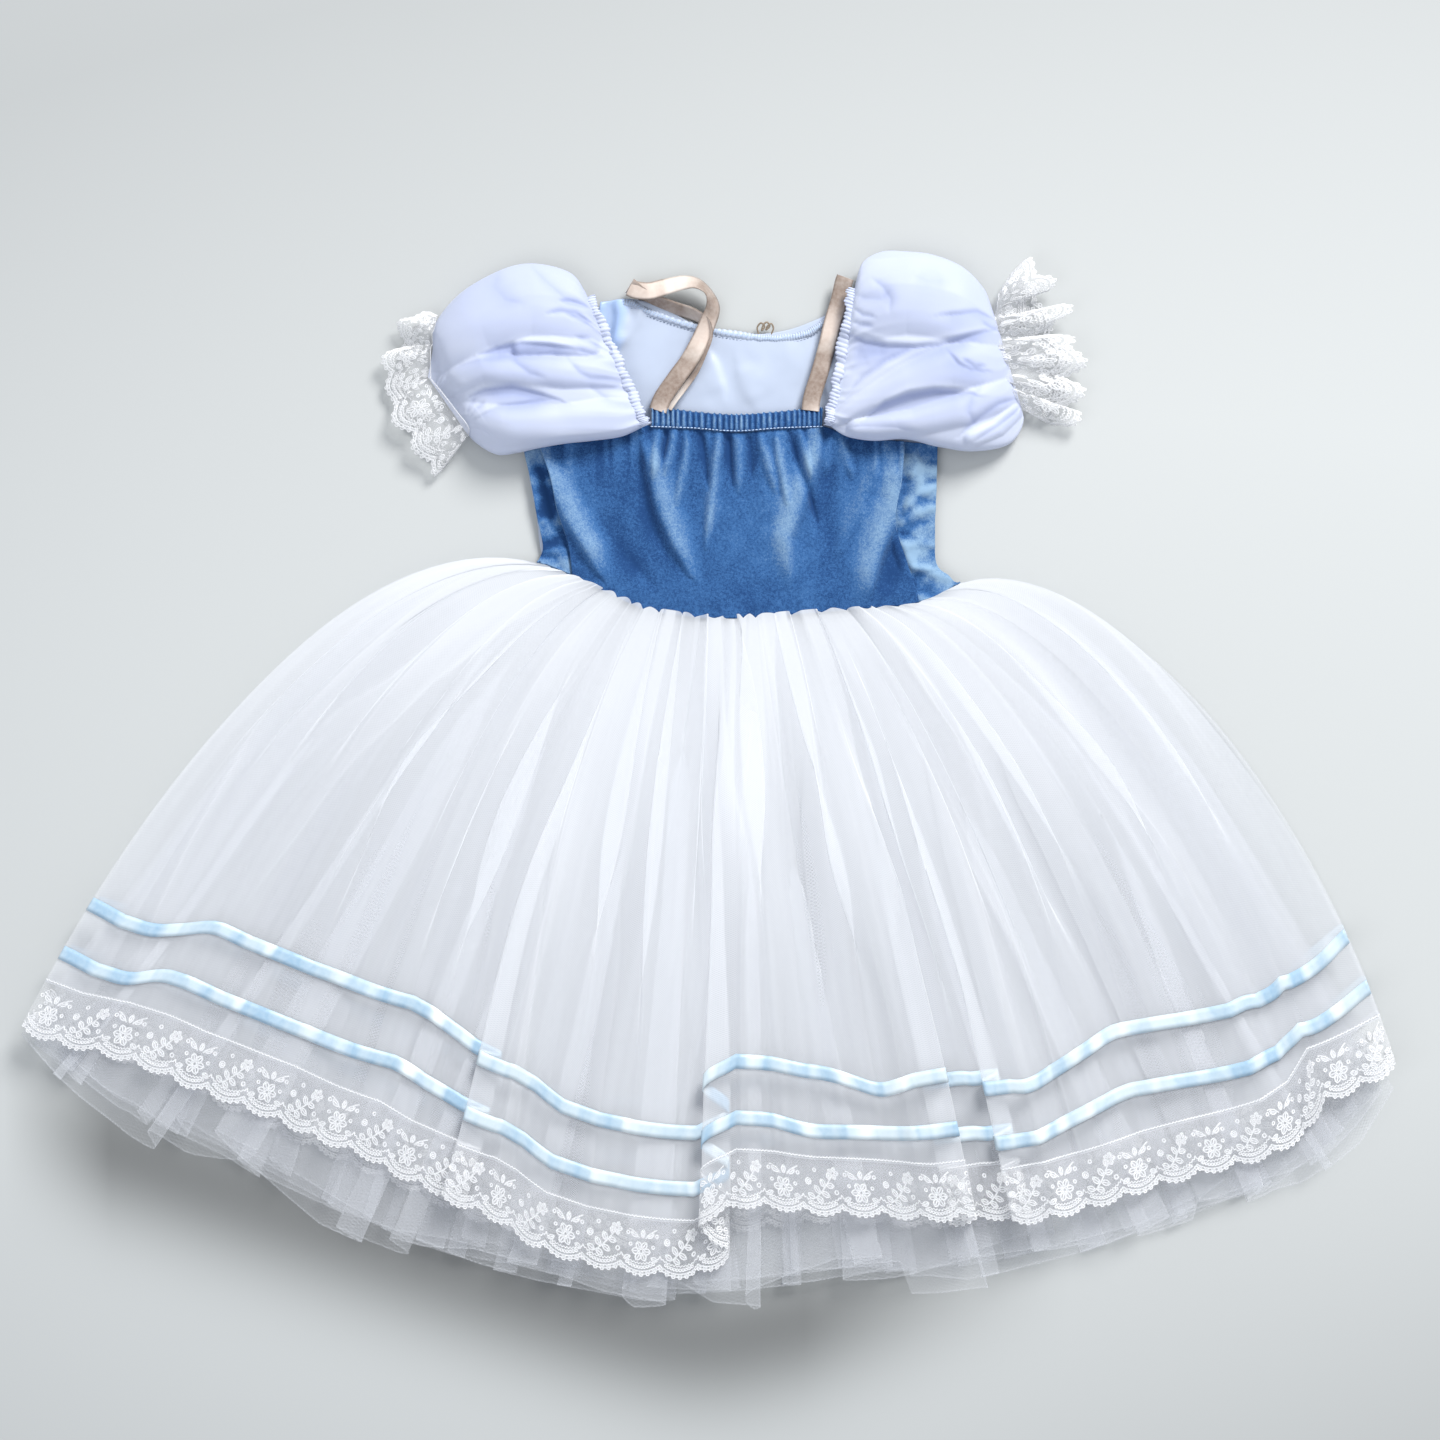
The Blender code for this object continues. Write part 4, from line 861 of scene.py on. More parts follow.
def lay_ribbon(name, panel, middle, width, outward, material):
    """A satin ribbon sewn flat to the outside of a skirt panel, folded with it."""
    across, run = panel.cloth_run(middle)
    steps = np.linspace(0, run[-1], RIBBON_COLUMNS)
    even = np.interp(steps, run, across)
    rise = np.linspace(middle + width / 2, middle - width / 2, RIBBON_ROWS)[:, None]
    sag = np.asarray(RIBBON_SAG.get(name, ((0, 0), (1, 0))), float)
    sway = sum(np.interp(even + step, *sag.T) for step in (-8, -4, 0, 4, 8)) / 5
    a, r = np.broadcast_arrays(even[None, :], rise + sway)
    points = panel.at(a, r) + panel.outward(a, r) * outward * RIBBON_LIFT
    points[..., 2] = np.maximum(points[..., 2], RIBBON_LOW)
    uv = np.stack(np.broadcast_arrays(steps[None, :], rise - middle), axis=-1)
    if outward < 0:
        points, uv = points[:, ::-2], uv[:, ::-2]
    return wall(sheet_object(name, points, material, uv), RIBBON)


# ---- lace ----------------------------------------------------------------------------------------
PITCH = 26.0          # of one scallop
SCALLOP = 5.5         # from its lowest point up to the cusp between two
LACE = 40.0           # the lace's height
LACE_LIFT = 0.9       # of the lace over the tulle under it
CUFF_SCALLOP = 24.0   # of one scallop along a cuff's frill
CUFF_THREAD = 0.85    # the cuffs' thread as a share of the hem's


def scallop_rise(run):
    return SCALLOP * (1 - np.abs(np.sin(math.pi * run / PITCH)) ** 0.75)


def loop(x, y, radius, steps=8):
    """A small ring of thread."""
    turn = np.linspace(0, 2 * math.pi, steps + 1)
    return np.stack([x + radius * np.cos(turn), y + radius * np.sin(turn)], 1)


def leaf(x, y, angle, length, width):
    """A leaf's outline and its vein."""
    t = np.linspace(0, 1, 7)
    out = np.stack([t * length, width / 2 * np.sin(math.pi * t) ** 0.8], 1)
    back = out[::-1] * (1, -1)
    vein = np.stack([t[1:6:2] * length, 0 * t[1:6:2]], 1)
    c, s = math.cos(math.radians(angle)), math.sin(math.radians(angle))
    turned = np.array([[c, s], [-s, c]])
    return [np.concatenate([out, back[1:]]) @ turned + (x, y), vein @ turned + (x, y)]


def near_edge(lines):
    """Lines drawn in, and set down on the scalloped edge."""
    return [line * (0.86, 1.0) - (0, 1.5) for line in lines]


def rosette_sprig():
    """One scallop's flower: a ring of petals on a curling stem, with leaves at its foot."""
    lines = [loop(0, 18, 1.5)]
    for k in range(6):
        angle = k * math.pi / 3
        lines += leaf(1.9 * math.cos(angle), 18 + 1.9 * math.sin(angle), 60 * k, 5.6, 4.2)
    for placed in ((-3.5, 28, 150, 6.5, 3.2), (4.5, 28, 32, 6, 3), (-8.5, 14, 205, 5.5, 3),
                   (8.5, 14, -22, 5.5, 3), (0.5, 27.5, 88, 6, 3)):
        lines += leaf(*placed)
    t = np.linspace(0, 1, 9)
    lines.append(np.stack([-11 + 9 * t, 33 - 6 * t ** 2], 1))
    lines.append(np.stack([3 + 9 * t, 27 + 7 * t ** 0.6], 1))
    buds = ((-11.5, 30.5, 1.2), (12, 29.5, 1.2), (-9, 22.5, 1.1), (9.6, 21.5, 1.1))
    return near_edge(lines + [loop(*bud) for bud in buds])


def leaf_sprig():
    """The next scallop's spray: a bent stem with leaves on both sides and a small bud."""
    t = np.linspace(0, 1, 11)
    lines = [np.stack([-8 + 17 * t, 12 + 17 * t ** 1.5], 1)]
    for part, angle, size in ((0.12, 150, 6), (0.2, -30, 6), (0.38, 128, 7), (0.45, -28, 7),
                              (0.62, 118, 6.5), (0.7, -8, 6), (0.86, 96, 5.5)):
        lines += leaf(-8 + 17 * part, 12 + 17 * part ** 1.5, angle, size, 3.4)
    for k in range(5):
        angle = k * 1.256     # a fifth of a turn
        lines += leaf(9.5 + 0.8 * math.cos(angle), 30 + 0.8 * math.sin(angle), 72 * k, 3.6, 2.6)
    buds = ((-10.5, 24, 2.2), (-10.5, 24, 0.9), (-5, 32, 1.2), (11.5, 17, 1.4))
    return near_edge(lines + [loop(*bud) for bud in buds])


def edge_cords():
    """One scallop's edge: a double cord, eyelets, dots, a wavy cord, and the cord at the top."""
    x = np.linspace(-PITCH / 2, PITCH / 2, 25)
    low = scallop_rise(x + PITCH / 2)
    lines = [np.stack([x, y], 1) for y in (
        low + 0.4, low + 2.4, low + 7.6 + 0.5 * np.cos(x * 2.9), 39.0 + 0.35 * np.cos(x * 2.4))]
    for k in range(1, 25, 2):
        lines.append(loop(x[k], low[k] + (0.2 if k % 4 == 1 else 1.4), 1.25, 6))
    for k in range(3, 23, 2):
        lines.append(loop(x[k] * 0.9, low[k] + 5.0, 0.9, 6))
    return lines


def thread_source(name, lines):
    """Thread lines in mm as one curve object, for the embroidery's node tree."""
    data = bpy.data.curves.new(name, "CURVE")
    data.dimensions = "3D"
    for line in lines:
        spline = data.splines.new("POLY")
        spline.points.add(len(line) - 1)
        flat = np.concatenate([line, np.zeros((len(line), 1)), np.ones((len(line), 1))], 1)
        spline.points.foreach_set("co", flat.reshape(-1).astype(np.float32))
    source = bpy.data.objects.new(name, data)
    bpy.context.scene.collection.objects.link(source)
    return source


def input_number(tree, name, default):
    socket = tree.interface.new_socket(name, in_out="INPUT", socket_type="NodeSocketFloat")
    socket.default_value = default
    return socket


def embroidery_tree(sources, material):
    """Node tree: each scallop's corded edge and one of two sprigs by turns, as ridged threads."""
    tree = bpy.data.node_groups.new("lace embroidery", "GeometryNodeTree")
    tree.interface.new_socket("Geometry", in_out="INPUT", socket_type="NodeSocketGeometry")
    count = tree.interface.new_socket("Scallops", in_out="INPUT", socket_type="NodeSocketInt")
    count.default_value = 10
    input_number(tree, "Pitch", PITCH)
    input_number(tree, "Thread width", 1.0)
    tree.interface.new_socket("Seed", in_out="INPUT", socket_type="NodeSocketInt").default_value = 3
    tree.interface.new_socket("Geometry", in_out="OUTPUT", socket_type="NodeSocketGeometry")
    given = add(tree, "NodeGroupInput").outputs
    offset = add(tree, "ShaderNodeCombineXYZ", {"X": given["Pitch"]}).outputs[0]
    start = add(tree, "ShaderNodeCombineXYZ",
                {"X": maths(tree, "MULTIPLY", given["Pitch"], 0.5)}).outputs[0]
    line = add(tree, "GeometryNodeMeshLine", {"Count": given["Scallops"], "Start Location": start,
                                              "Offset": offset}).outputs[0]
    index = add(tree, "GeometryNodeInputIndex").outputs[0]
    odd = maths(tree, "MODULO", index, 2.0)
    even = maths(tree, "SUBTRACT", 1.0, odd)
    half = maths(tree, "MULTIPLY", given["Thread width"], 0.5)
    profile = add(tree, "GeometryNodeCurveArc", {
        "Resolution": 3, "Radius": half, "Start Angle": math.pi, "Sweep Angle": -math.pi},
        mode="RADIUS")
    joined = add(tree, "GeometryNodeJoinGeometry")
    for source, selection in zip(sources, (even, odd, None)):
        info = add(tree, "GeometryNodeObjectInfo", {"Object": source}).outputs["Geometry"]
        thread = add(tree, "GeometryNodeCurveToMesh", {
            "Curve": info, "Profile Curve": profile.outputs[0], "Fill Caps": False}).outputs[0]
        values = {"Points": line, "Instance": thread}
        if selection is not None:
            values["Selection"] = selection
            values["Scale"] = add(tree, "FunctionNodeRandomValue", {
                0: (0.93, 0.95, 1.0), 1: (1.05, 1.03, 1.0), "Seed": given["Seed"]},
                data_type="FLOAT_VECTOR").outputs[0]
        placed = add(tree, "GeometryNodeInstanceOnPoints", values)
        tree.links.new(placed.outputs[0], joined.inputs[0])
    real = add(tree, "GeometryNodeRealizeInstances", {0: joined.outputs[0]}).outputs[0]
    real = add(tree, "GeometryNodeSetMaterial", {"Geometry": real, "Material": material}).outputs[0]
    add(tree, "NodeGroupOutput", {0: real})
    return tree


def run_tree(name, tree, values, mesh=None):
    """The plain mesh that a node tree makes from a mesh, or from nothing, with these settings."""
    mesh = mesh or bpy.data.meshes.new(name)
    host = bpy.data.objects.new(name, mesh)
    bpy.context.scene.collection.objects.link(host)
    modifier = host.modifiers.new(tree.name, "NODES")
    modifier.node_group = tree
    for item in tree.interface.items_tree:
        if item.item_type == "SOCKET" and item.in_out == "INPUT" and item.name in values:
            modifier[item.identifier] = values[item.name]
    bpy.context.view_layer.update()
    grown = host.evaluated_get(bpy.context.evaluated_depsgraph_get())
    made = bpy.data.meshes.new_from_object(grown)
    host.modifiers.remove(modifier)
    bpy.data.objects.remove(host, do_unlink=True)
    bpy.data.meshes.remove(mesh)
    return made


def mesh_points(mesh):
    points = np.zeros(len(mesh.vertices) * 3, np.float32)
    mesh.vertices.foreach_get("co", points)
    return points.reshape(-1, 3).astype(float)


def embroider(name, tree, scallops, thread, place):
    """Makes the embroidery flat, then lays each point by place(run, rise, height), in mm."""
    values = {"Scallops": scallops, "Pitch": PITCH, "Thread width": thread, "Seed": 3}
    mesh = run_tree(name, tree, values)
    points = place(*mesh_points(mesh).T)
    mesh.vertices.foreach_set("co", (points * MM).reshape(-1).astype(np.float32))
    mesh.update()
    mesh.shade_smooth()
    return shown(name, mesh, None)


def lace_cloth(name, place, size, sink, flipped, lace):
    """Lace laid by place(run, rise, height): its sheer scalloped ground and its embroidery. The
    size is how many scallops it has, the columns in each and the rows."""
    scallops, columns, rows = size
    ground, tree, thread = lace
    run = np.linspace(0, scallops * PITCH, scallops * columns + 1)[None, :]
    rise = mix(scallop_rise(run) + 0.3, LACE, np.linspace(1, 0, rows)[:, None])
    run, rise = np.broadcast_arrays(run, rise)
    points, uv = place(run, rise, 0 * run - sink), np.stack([run, rise], -1)
    if flipped:
        points, uv = points[:, ::-1], uv[:, ::-1]
    net = sheet_object(name, points, ground, uv, fields=[("dense", 1.0 + 0 * run)])
    return net, embroider(name + "_embroidery", tree, scallops, thread, place)


def lay_hem_lace(name, panel, outward, lace):
    """The hem's lace, on the outside of a skirt panel and folded with it."""
    across, run = panel.cloth_run(LACE / 2)
    scallops = int(run[-1] / PITCH)
    scale = scallops * PITCH / run[-1]

    def place(s, rise, height):
        a = np.interp(s / scale, run, across)
        lift = outward * (LACE_LIFT + height)
        points = panel.at(a, rise) + panel.outward(a, rise) * lift[..., None]
        points[..., 2] = np.maximum(points[..., 2], LACE_LOW)
        return points

    return lace_cloth(name, place, (scallops, 22, 9), 0.0, outward < 0, lace)


def lay_lace(kind, lay, thread, sides):
    """Makes the lace pieces of a kind, each by lay(name, its own values, lace)."""
    sources = [thread_source(f"{kind}_{lines.__name__}", lines())
               for lines in (rosette_sprig, leaf_sprig, edge_cords)]
    tree = embroidery_tree(sources, lace_thread_material())
    for side, *values in sides:
        name = f"{kind}_{side}"
        net, sewn = lay(name, *values, (lace_ground_material(), tree, thread))
        settle(net, "lace", name)
        settle(sewn, "lace")
    for source in sources:
        bpy.data.objects.remove(source, do_unlink=True)


# ---- bodice --------------------------------------------------------------------------------------
def grid(columns, rows):
    """Even shares across (0 to 1) and down (0 to 1) over a grid."""
    return np.meshgrid(np.linspace(0, 1, columns), np.linspace(0, 1, rows))


def waist_at(x):
    fan = np.asarray(FAN, float)
    return np.interp(x, fan[:, 1], fan[:, 2]) + 0.8


def nap_of(height, side, x, y, seed, tone):
    """The way the velvet's pile lies, pale above 0 and dark below, with painted light: painted
    highlights on fold crests, painted shade on their sharp sides.
    """
    patches = uneven(x, y, seed, (0.5, 30, 40), (0.3, 9, 16))
    return tone + 0.22 * height - 1.1 * side + 0.4 * patches


def bodice_sheet(name, place, nap, thickness, material):
    """A bodice piece from its grid's x, y and z, with the lie of its pile and its painted light and
    shade.
    """
    uv = np.stack([place[0], -place[1]], -1)
    piece = sheet_object(name, np.stack(place, -1), material, uv, fields=[("nap", nap)])
    return wall(piece, thickness)


def velvet_front(material):
    u, down = grid(205, 112)
    top = curve(FRONT_TOP, u)
    left, right = curve(SIDE_LEFT_SEAM, down)[..., 0], curve(SIDE_RIGHT_SEAM, down)[..., 0]
    x = mix(left, right, u) + (top[..., 0] - mix(FRONT_TOP[0][0], FRONT_TOP[-1][0], u)) * (1 - down)
    waist_x = mix(SIDE_LEFT_SEAM[-1][0], SIDE_RIGHT_SEAM[-1][0], u)
    y = mix(top[..., 1], waist_at(waist_x), down)
    height, side = creases(x, y, VELVET_FOLDS[:10] + VELVET_FOLDS[-2:])
    gathered, _ = creases(x, y, VELVET_FOLDS[10:-2])
    gathers = 0.9 * np.exp(-(1 - down) * 12) * rumple(x / 5, 0, 8)
    height = height * (1 - 0.75 * smooth(0.86, 1.0, down))
    height = height + gathers * (0.5 + 0.5 * rumple(x / 20, 1, 9))
    base = mix(FRONT_Z, WALL / 2 + FRONT_LAYER * WAIST_STEP, smooth(0.5, 1.0, down))
    z = (base + np.maximum(height, -2.2) + 0.35 * rumple(x / 16, y / 16, 3)
         + 0.18 * rumple(x / 6, y / 6, 4))
    drawn = np.exp(-down * 5) * rumple(x / 3.0, down * 1.2, 27)
    free = smooth(0.0, 0.04, down)
    z = mix(FRONT_Z, z + 1.8 * gathered + 1.6 * drawn, free)
    z = np.maximum(z, 7.6 * smooth(0.88, 0.97, np.abs(2 * u - 1)))
    # painted light: the pile's lie, with painted highlights on the folds' and gathers' crests and
    # painted shade on sharp sides and in troughs
    nap = nap_of(height, side, x, y, 5, -0.3) + 0.6 * gathered + 1.1 * drawn
    return bodice_sheet("bodice_front", (x, y, z), nap, VELVET, material)


def velvet_side(name, outer, seam, tone, seed, material):
    """A narrow side panel, crumpled, from the garment's edge to the front's seam."""
    u, down = grid(42, 112)
    a, b = curve(outer, down), curve(seam, down)
    b = b + unit(b - a) * 3.5     # a little way under the front
    x, y = mix(a[..., 0], b[..., 0], u), mix(a[..., 1], b[..., 1], u)
    y = np.where(down > 0.85, mix(y, waist_at(x) + 0.3, smooth(0.85, 1.0, down)), y)
    height, side = creases(x, y, SIDE_FOLDS)
    base = mix(4.6, mix(4.9, 6.4, smooth(0.5, 1.0, down)), u)
    base = mix(base, 8.0, smooth(0.85, 1.0, down))
    crumple = uneven(x, y, seed, (0.7, 9, 7), (0.3, 4, 4))
    z = base + np.clip(height + crumple, -1.5, 2.5) * (1 - 0.95 * smooth(0.7, 0.95, u))
    # painted light: painted highlights where the crumples rise, and the folds' painted light and
    # shade
    nap = nap_of(height * 2.6, side, x, y, seed, tone) + 1.9 * crumple
    if a[0, 0, 0] > b[0, 0, 0]:
        x, y, z, nap = (part[:, ::-1] for part in (x, y, z, nap))
    return bodice_sheet(name, (x, y, z), nap, VELVET, material)


SHOWS_FROM = 215.0    # up from here in plan the lining shows, between the front and the neckline


def back_sheet(name, z, inset, thickness, folds, columns, rows, material):
    """The back bodice or its lining, from the back neckline to the waist."""
    u, down = grid(columns, rows)
    left, right = curve(BACK_SIDE_LEFT, down), curve(BACK_SIDE_RIGHT, down)
    x = mix(left[..., 0] + inset, right[..., 0] - inset, u)
    straight = mix(left[..., 1], right[..., 1], u)
    chord = mix(BACK_NECK[0][1], BACK_NECK[-1][1], u)
    y = straight + (curve(BACK_NECK, u)[..., 1] - inset - chord) * (1 - down) ** 2
    y = y + (waist_at(x) + 2 * inset - straight) * smooth(0.75, 1.0, down)
    height, side = creases(x, y, folds)
    soft = uneven(x, y, 12, (0.35, 22, 18), (0.12, 7, 7))
    z = z + np.maximum(height, -0.4) * (y > SHOWS_FROM)
    nap = 0.5 * rumple(x / 25, y / 25, 14)
    if folds:
        z = z + np.where(y > SHOWS_FROM, 0.3 + soft, 0)
        # the lining's blue over the left shoulder, deepened along its folds' crests and sharp sides
        # as painted shade
        nap = smooth(-46, -58, x + 0.25 * (325 - y)) * (y > 265) + 0.16 * side + 0.1 * height
    return bodice_sheet(name, (x, y, z), nap, thickness, material)


def neck_casing(pleats, material):
    """The front neckline's casing, drawn up in narrow pleats over its elastic."""
    u, down = grid(pleats * 12 + 1, 13)
    top, low = curve(CASING_TOP, u), curve(CASING_BOTTOM, u)
    phase = u * pleats + 0.5 * rumple(u * 11, 0, 17)
    crest = np.abs(np.sin(math.pi * phase)) ** 1.3 * (0.8 + 0.2 * rumple(u * 23, 1, 18))
    x = mix(top[..., 0], low[..., 0], down) + 0.5 * np.sin(2 * math.pi * phase) * (1 - down)
    y = mix(top[..., 1], low[..., 1] - 1.6, down) + (0.9 * crest - 0.3) * (1 - down) ** 3
    roll = 1 - (np.abs(down - 0.5) * 2) ** 4
    z = CASING_Z + 0.9 * roll + 1.9 * crest * (0.35 + 0.65 * roll)
    # painted light: the pleats paler on their crests and darker between them
    nap = -1.6 + 3.2 * crest * (0.6 + 0.4 * roll) + 0.3 * rumple(u * 40, down * 3, 19)
    return bodice_sheet("front_neck_casing", (x, y, z), nap, CASING, material)


def stitch_tree(material):
    """Node tree: small rounded stitches in a row along a line, leaning by turns to each side."""
    tree = bpy.data.node_groups.new("stitches", "GeometryNodeTree")
    tree.interface.new_socket("Geometry", in_out="INPUT", socket_type="NodeSocketGeometry")
    for name, default in (("Pitch", 2.5 * MM), ("Length", 2.0 * MM), ("Width", 0.5 * MM),
                          ("Lean", 0.0), ("Zigzag", 0.0)):
        input_number(tree, name, default)
    tree.interface.new_socket("Geometry", in_out="OUTPUT", socket_type="NodeSocketGeometry")
    given = add(tree, "NodeGroupInput").outputs
    line = add(tree, "GeometryNodeMeshToCurve", {"Mesh": given["Geometry"]}).outputs[0]
    line = add(tree, "GeometryNodeResampleCurve", {"Curve": line, "Length": given["Pitch"]},
               mode="LENGTH").outputs[0]
    ball = add(tree, "GeometryNodeMeshUVSphere", {"Segments": 6, "Rings": 4, "Radius": 0.5})
    odd = maths(tree, "MODULO", add(tree, "GeometryNodeInputIndex").outputs[0], 2.0)
    sway = maths(tree, "MULTIPLY", maths(tree, "SUBTRACT", odd, 0.5), given["Zigzag"])
    angle = maths(tree, "ADD", given["Lean"], sway)
    tangent = add(tree, "GeometryNodeInputTangent").outputs[0]
    way = add(tree, "ShaderNodeVectorRotate", {"Vector": tangent, "Angle": angle,
                                               "Axis": (0, 0, 1)}).outputs[0]
    turn = add(tree, "FunctionNodeAlignRotationToVector", {"Vector": way}, axis="X").outputs[0]
    size = add(tree, "ShaderNodeCombineXYZ", {"X": given["Length"], "Y": given["Width"],
                                              "Z": given["Width"]}).outputs[0]
    ball = ball.outputs["Mesh"]
    placed = add(tree, "GeometryNodeInstanceOnPoints", {
        "Points": line, "Instance": ball, "Rotation": turn, "Scale": size}).outputs[0]
    real = add(tree, "GeometryNodeRealizeInstances", {0: placed}).outputs[0]
    smoothed = add(tree, "GeometryNodeSetShadeSmooth", {0: real}).outputs[0]
    real = add(tree, "GeometryNodeSetMaterial", {"Geometry": smoothed, "Material": material})
    add(tree, "NodeGroupOutput", {0: real.outputs[0]})
    return tree


def sew(name, tree, line, **sizes):
    """A row of stitches along a line of points in mm, with the sizes of a stitch in mm."""
    mesh = bpy.data.meshes.new(name)
    mesh.from_pydata([tuple(p) for p in np.asarray(line, float) * MM],
                     [(k, k + 1) for k in range(len(line) - 1)], [])
    return shown(name, run_tree(name, tree, sizes, mesh), None)


def ribbon_strip(name, stations, width, material, seed=1, steps=140):
    """A ribbon along stations of x, y, z and tip, its two edges curled a little."""
    t, v = grid(steps, 7)
    centre = curve(stations, t)
    way = unit(way_along(stations, t, 0.012)[..., :2])
    tip = np.radians(centre[..., 3])
    across = np.stack([-way[..., 1] * np.cos(tip), way[..., 0] * np.cos(tip), np.sin(tip)], -1)
    side = (0.5 - v)[..., None] * width
    points = centre[..., :3] + across * side
    points[..., 2] += 0.5 * (1 - (2 * v - 1) ** 2) + 0.25 * rumple(t * 9, v, seed)
    middle = centre[0, :, :3]
    run = np.cumsum(np.linalg.norm(np.diff(middle, axis=0, prepend=middle[:1]), axis=1))
    uv = np.stack(np.broadcast_arrays(run[None, :], (0.5 - v) * width), -1)
    return wall(sheet_object(name, points, material, uv), STRAP)


def cord(name, line, radius, material, steps=110, sides=7):
    """A round cord along a line of points in mm."""
    around = np.arange(sides) / sides * 2 * math.pi
    t, turn = np.meshgrid(np.linspace(0, 1, steps), around, indexing="ij")
    way = way_along(line, t, 0.005)
    side = np.cross(way, (0.0, 0.0, 1.0))
    up = unit(np.cross(side, way))
    ring = np.cos(turn)[..., None] * unit(side) + np.sin(turn)[..., None] * up
    points = curve(line, t) + radius * ring
    return sheet_object(name, points, material, np.stack([t * 60, turn], -1), closed=True)


# ---- sleeves and cuffs ---------------------------------------------------------------------------
LIT_FROM = (0.30, 0.62, 0.725)     # the way the light comes from, for the sleeves' painted shading


def puff(name, sections, puffs, tucks, seed, material):
    """A chiffon puff: a soft flattened tube gathered at the wrist and the armhole."""
    around, length = 210, 165
    crown_share = 0.7
    share, t = np.meshgrid(np.arange(around) / around, np.linspace(0, 1, length))
    ring = curve(sections, t)
    low, high = ring[..., 4] + 0.6, ring[..., 5] - 0.6
    edge = mix(low, high, 0.3)
    top = share <= crown_share
    s = np.where(top, share / crown_share, (share - crown_share) / (1 - crown_share))
    place = np.where(top, 0.5 - 0.5 * np.cos(math.pi * s), 0.5 + 0.5 * np.cos(math.pi * s))
    rise = np.maximum(np.sin(math.pi * np.where(top, s ** 0.72, s)), 0)
    z = np.where(top, edge + (high - 3.5 - edge) * rise ** 0.75, edge - (edge - low) * rise ** 0.5)
    x, y = mix(ring[..., 2], ring[..., 0], place), mix(ring[..., 3], ring[..., 1], place)
    tucked, lip = creases(x, y, tucks, 0.65)
    height = 0.85 * pillows(x, y, puffs) + 2.9 * tucked
    soft = uneven(x, y, seed, (0.7, 30, 20), (0.25, 14, 11))
    wrist, armhole = np.exp(-t * 8), np.exp(-(1 - t) * 8)
    gather = (2.2 * wrist * (0.5 - np.abs(rumple(place * 13 + t * 2, t, seed + 2)))
              + 2.4 * armhole * (0.5 - np.abs(rumple(place * 19 + t * 3, t, seed + 3))))
    fade = np.minimum(rise * 1.6, 1.0) * np.where(top, 1.0, -0.25)
    # the smooth tube's lean to the light, before its folds, for painting its broad shading out
    shell = facing(np.stack([x, y, z], -1), LIT_FROM)
    z = z + fade * ((height + soft) * (1 - 0.9 * wrist) * (1 - 0.4 * armhole) + gather)
    z = np.clip(z, SLEEVE_LOW, 36)
    uv = np.stack([t * 150, share * 300], -1)
    points = np.stack([x, y, z], -1)
    # painted shade and highlights: darker on high puffs and in the tucks, paler on the bright
    # tucks, on the tucks' sharp sides and on the gathers
    shade = 0.13 - 0.035 * height + 1.2 * tucked + 0.3 * np.clip(lip, 0, 1) + 0.16 * gather * fade
    if points[0, 0, 0] > points[-1, 0, 0]:
        points, uv, shade = points[:, ::-1], uv[:, ::-1], shade[:, ::-1]
        shell = -shell[:, ::-1] - 2 * LIT_FROM[2]
    # painted light: paler where the folds face the light, and the smooth tube's shading painted
    # out, darker where it faces the light and paler where it faces away
    shade = 0.76 + shade + 0.2 * facing(points, LIT_FROM) - 1.6 * np.clip(shell, -0.5, 0.3)
    shade = np.clip(shade, 0.0, 1.0)
    piece = sheet_object(name, points, material, uv, closed=True, fields=[("shade", shade)])
    return piece, points


def frill_cord(name, line, lobes, width, rise, lean, seed, material):
    """A scrunched elastic edging along a line: rounded lobes close together."""
    t, v = grid(lobes * 6 + 1, 10)
    centre = curve(line, t)
    way = unit(way_along(line, t, 0.01)[..., :2])
    phase = t * lobes + 0.4 * rumple(t * 9, 0, seed) + lean * v
    lobe = np.abs(np.sin(math.pi * phase)) ** 0.7 * (
        0.72 + 0.6 * lean * rumple(t * lobes, v * 3, seed + 1))
    turn = math.pi * v
    reach = (width / 2 * np.cos(turn) * (0.55 + 0.45 * lobe)
             + 2.0 * lean * rumple(t * lobes * 0.6, v * 3, seed + 2))
    x, y = centre[..., 0] - way[..., 1] * reach, centre[..., 1] + way[..., 0] * reach
    z = centre[..., 2] + rise * (0.5 + 0.6 * lobe) * np.sin(turn) - 0.4 * (1 - np.sin(turn))
    # painted shade: darker between the lobes; no pile
    fields = [("shade", 0.7 + 0.3 * lobe), ("nap", 0 * t)]
    uv = np.stack([t * 200, v * width], -1)
    return wall(sheet_object(name, np.stack([x, y, z], -1), material, uv, fields=fields), FRILL)


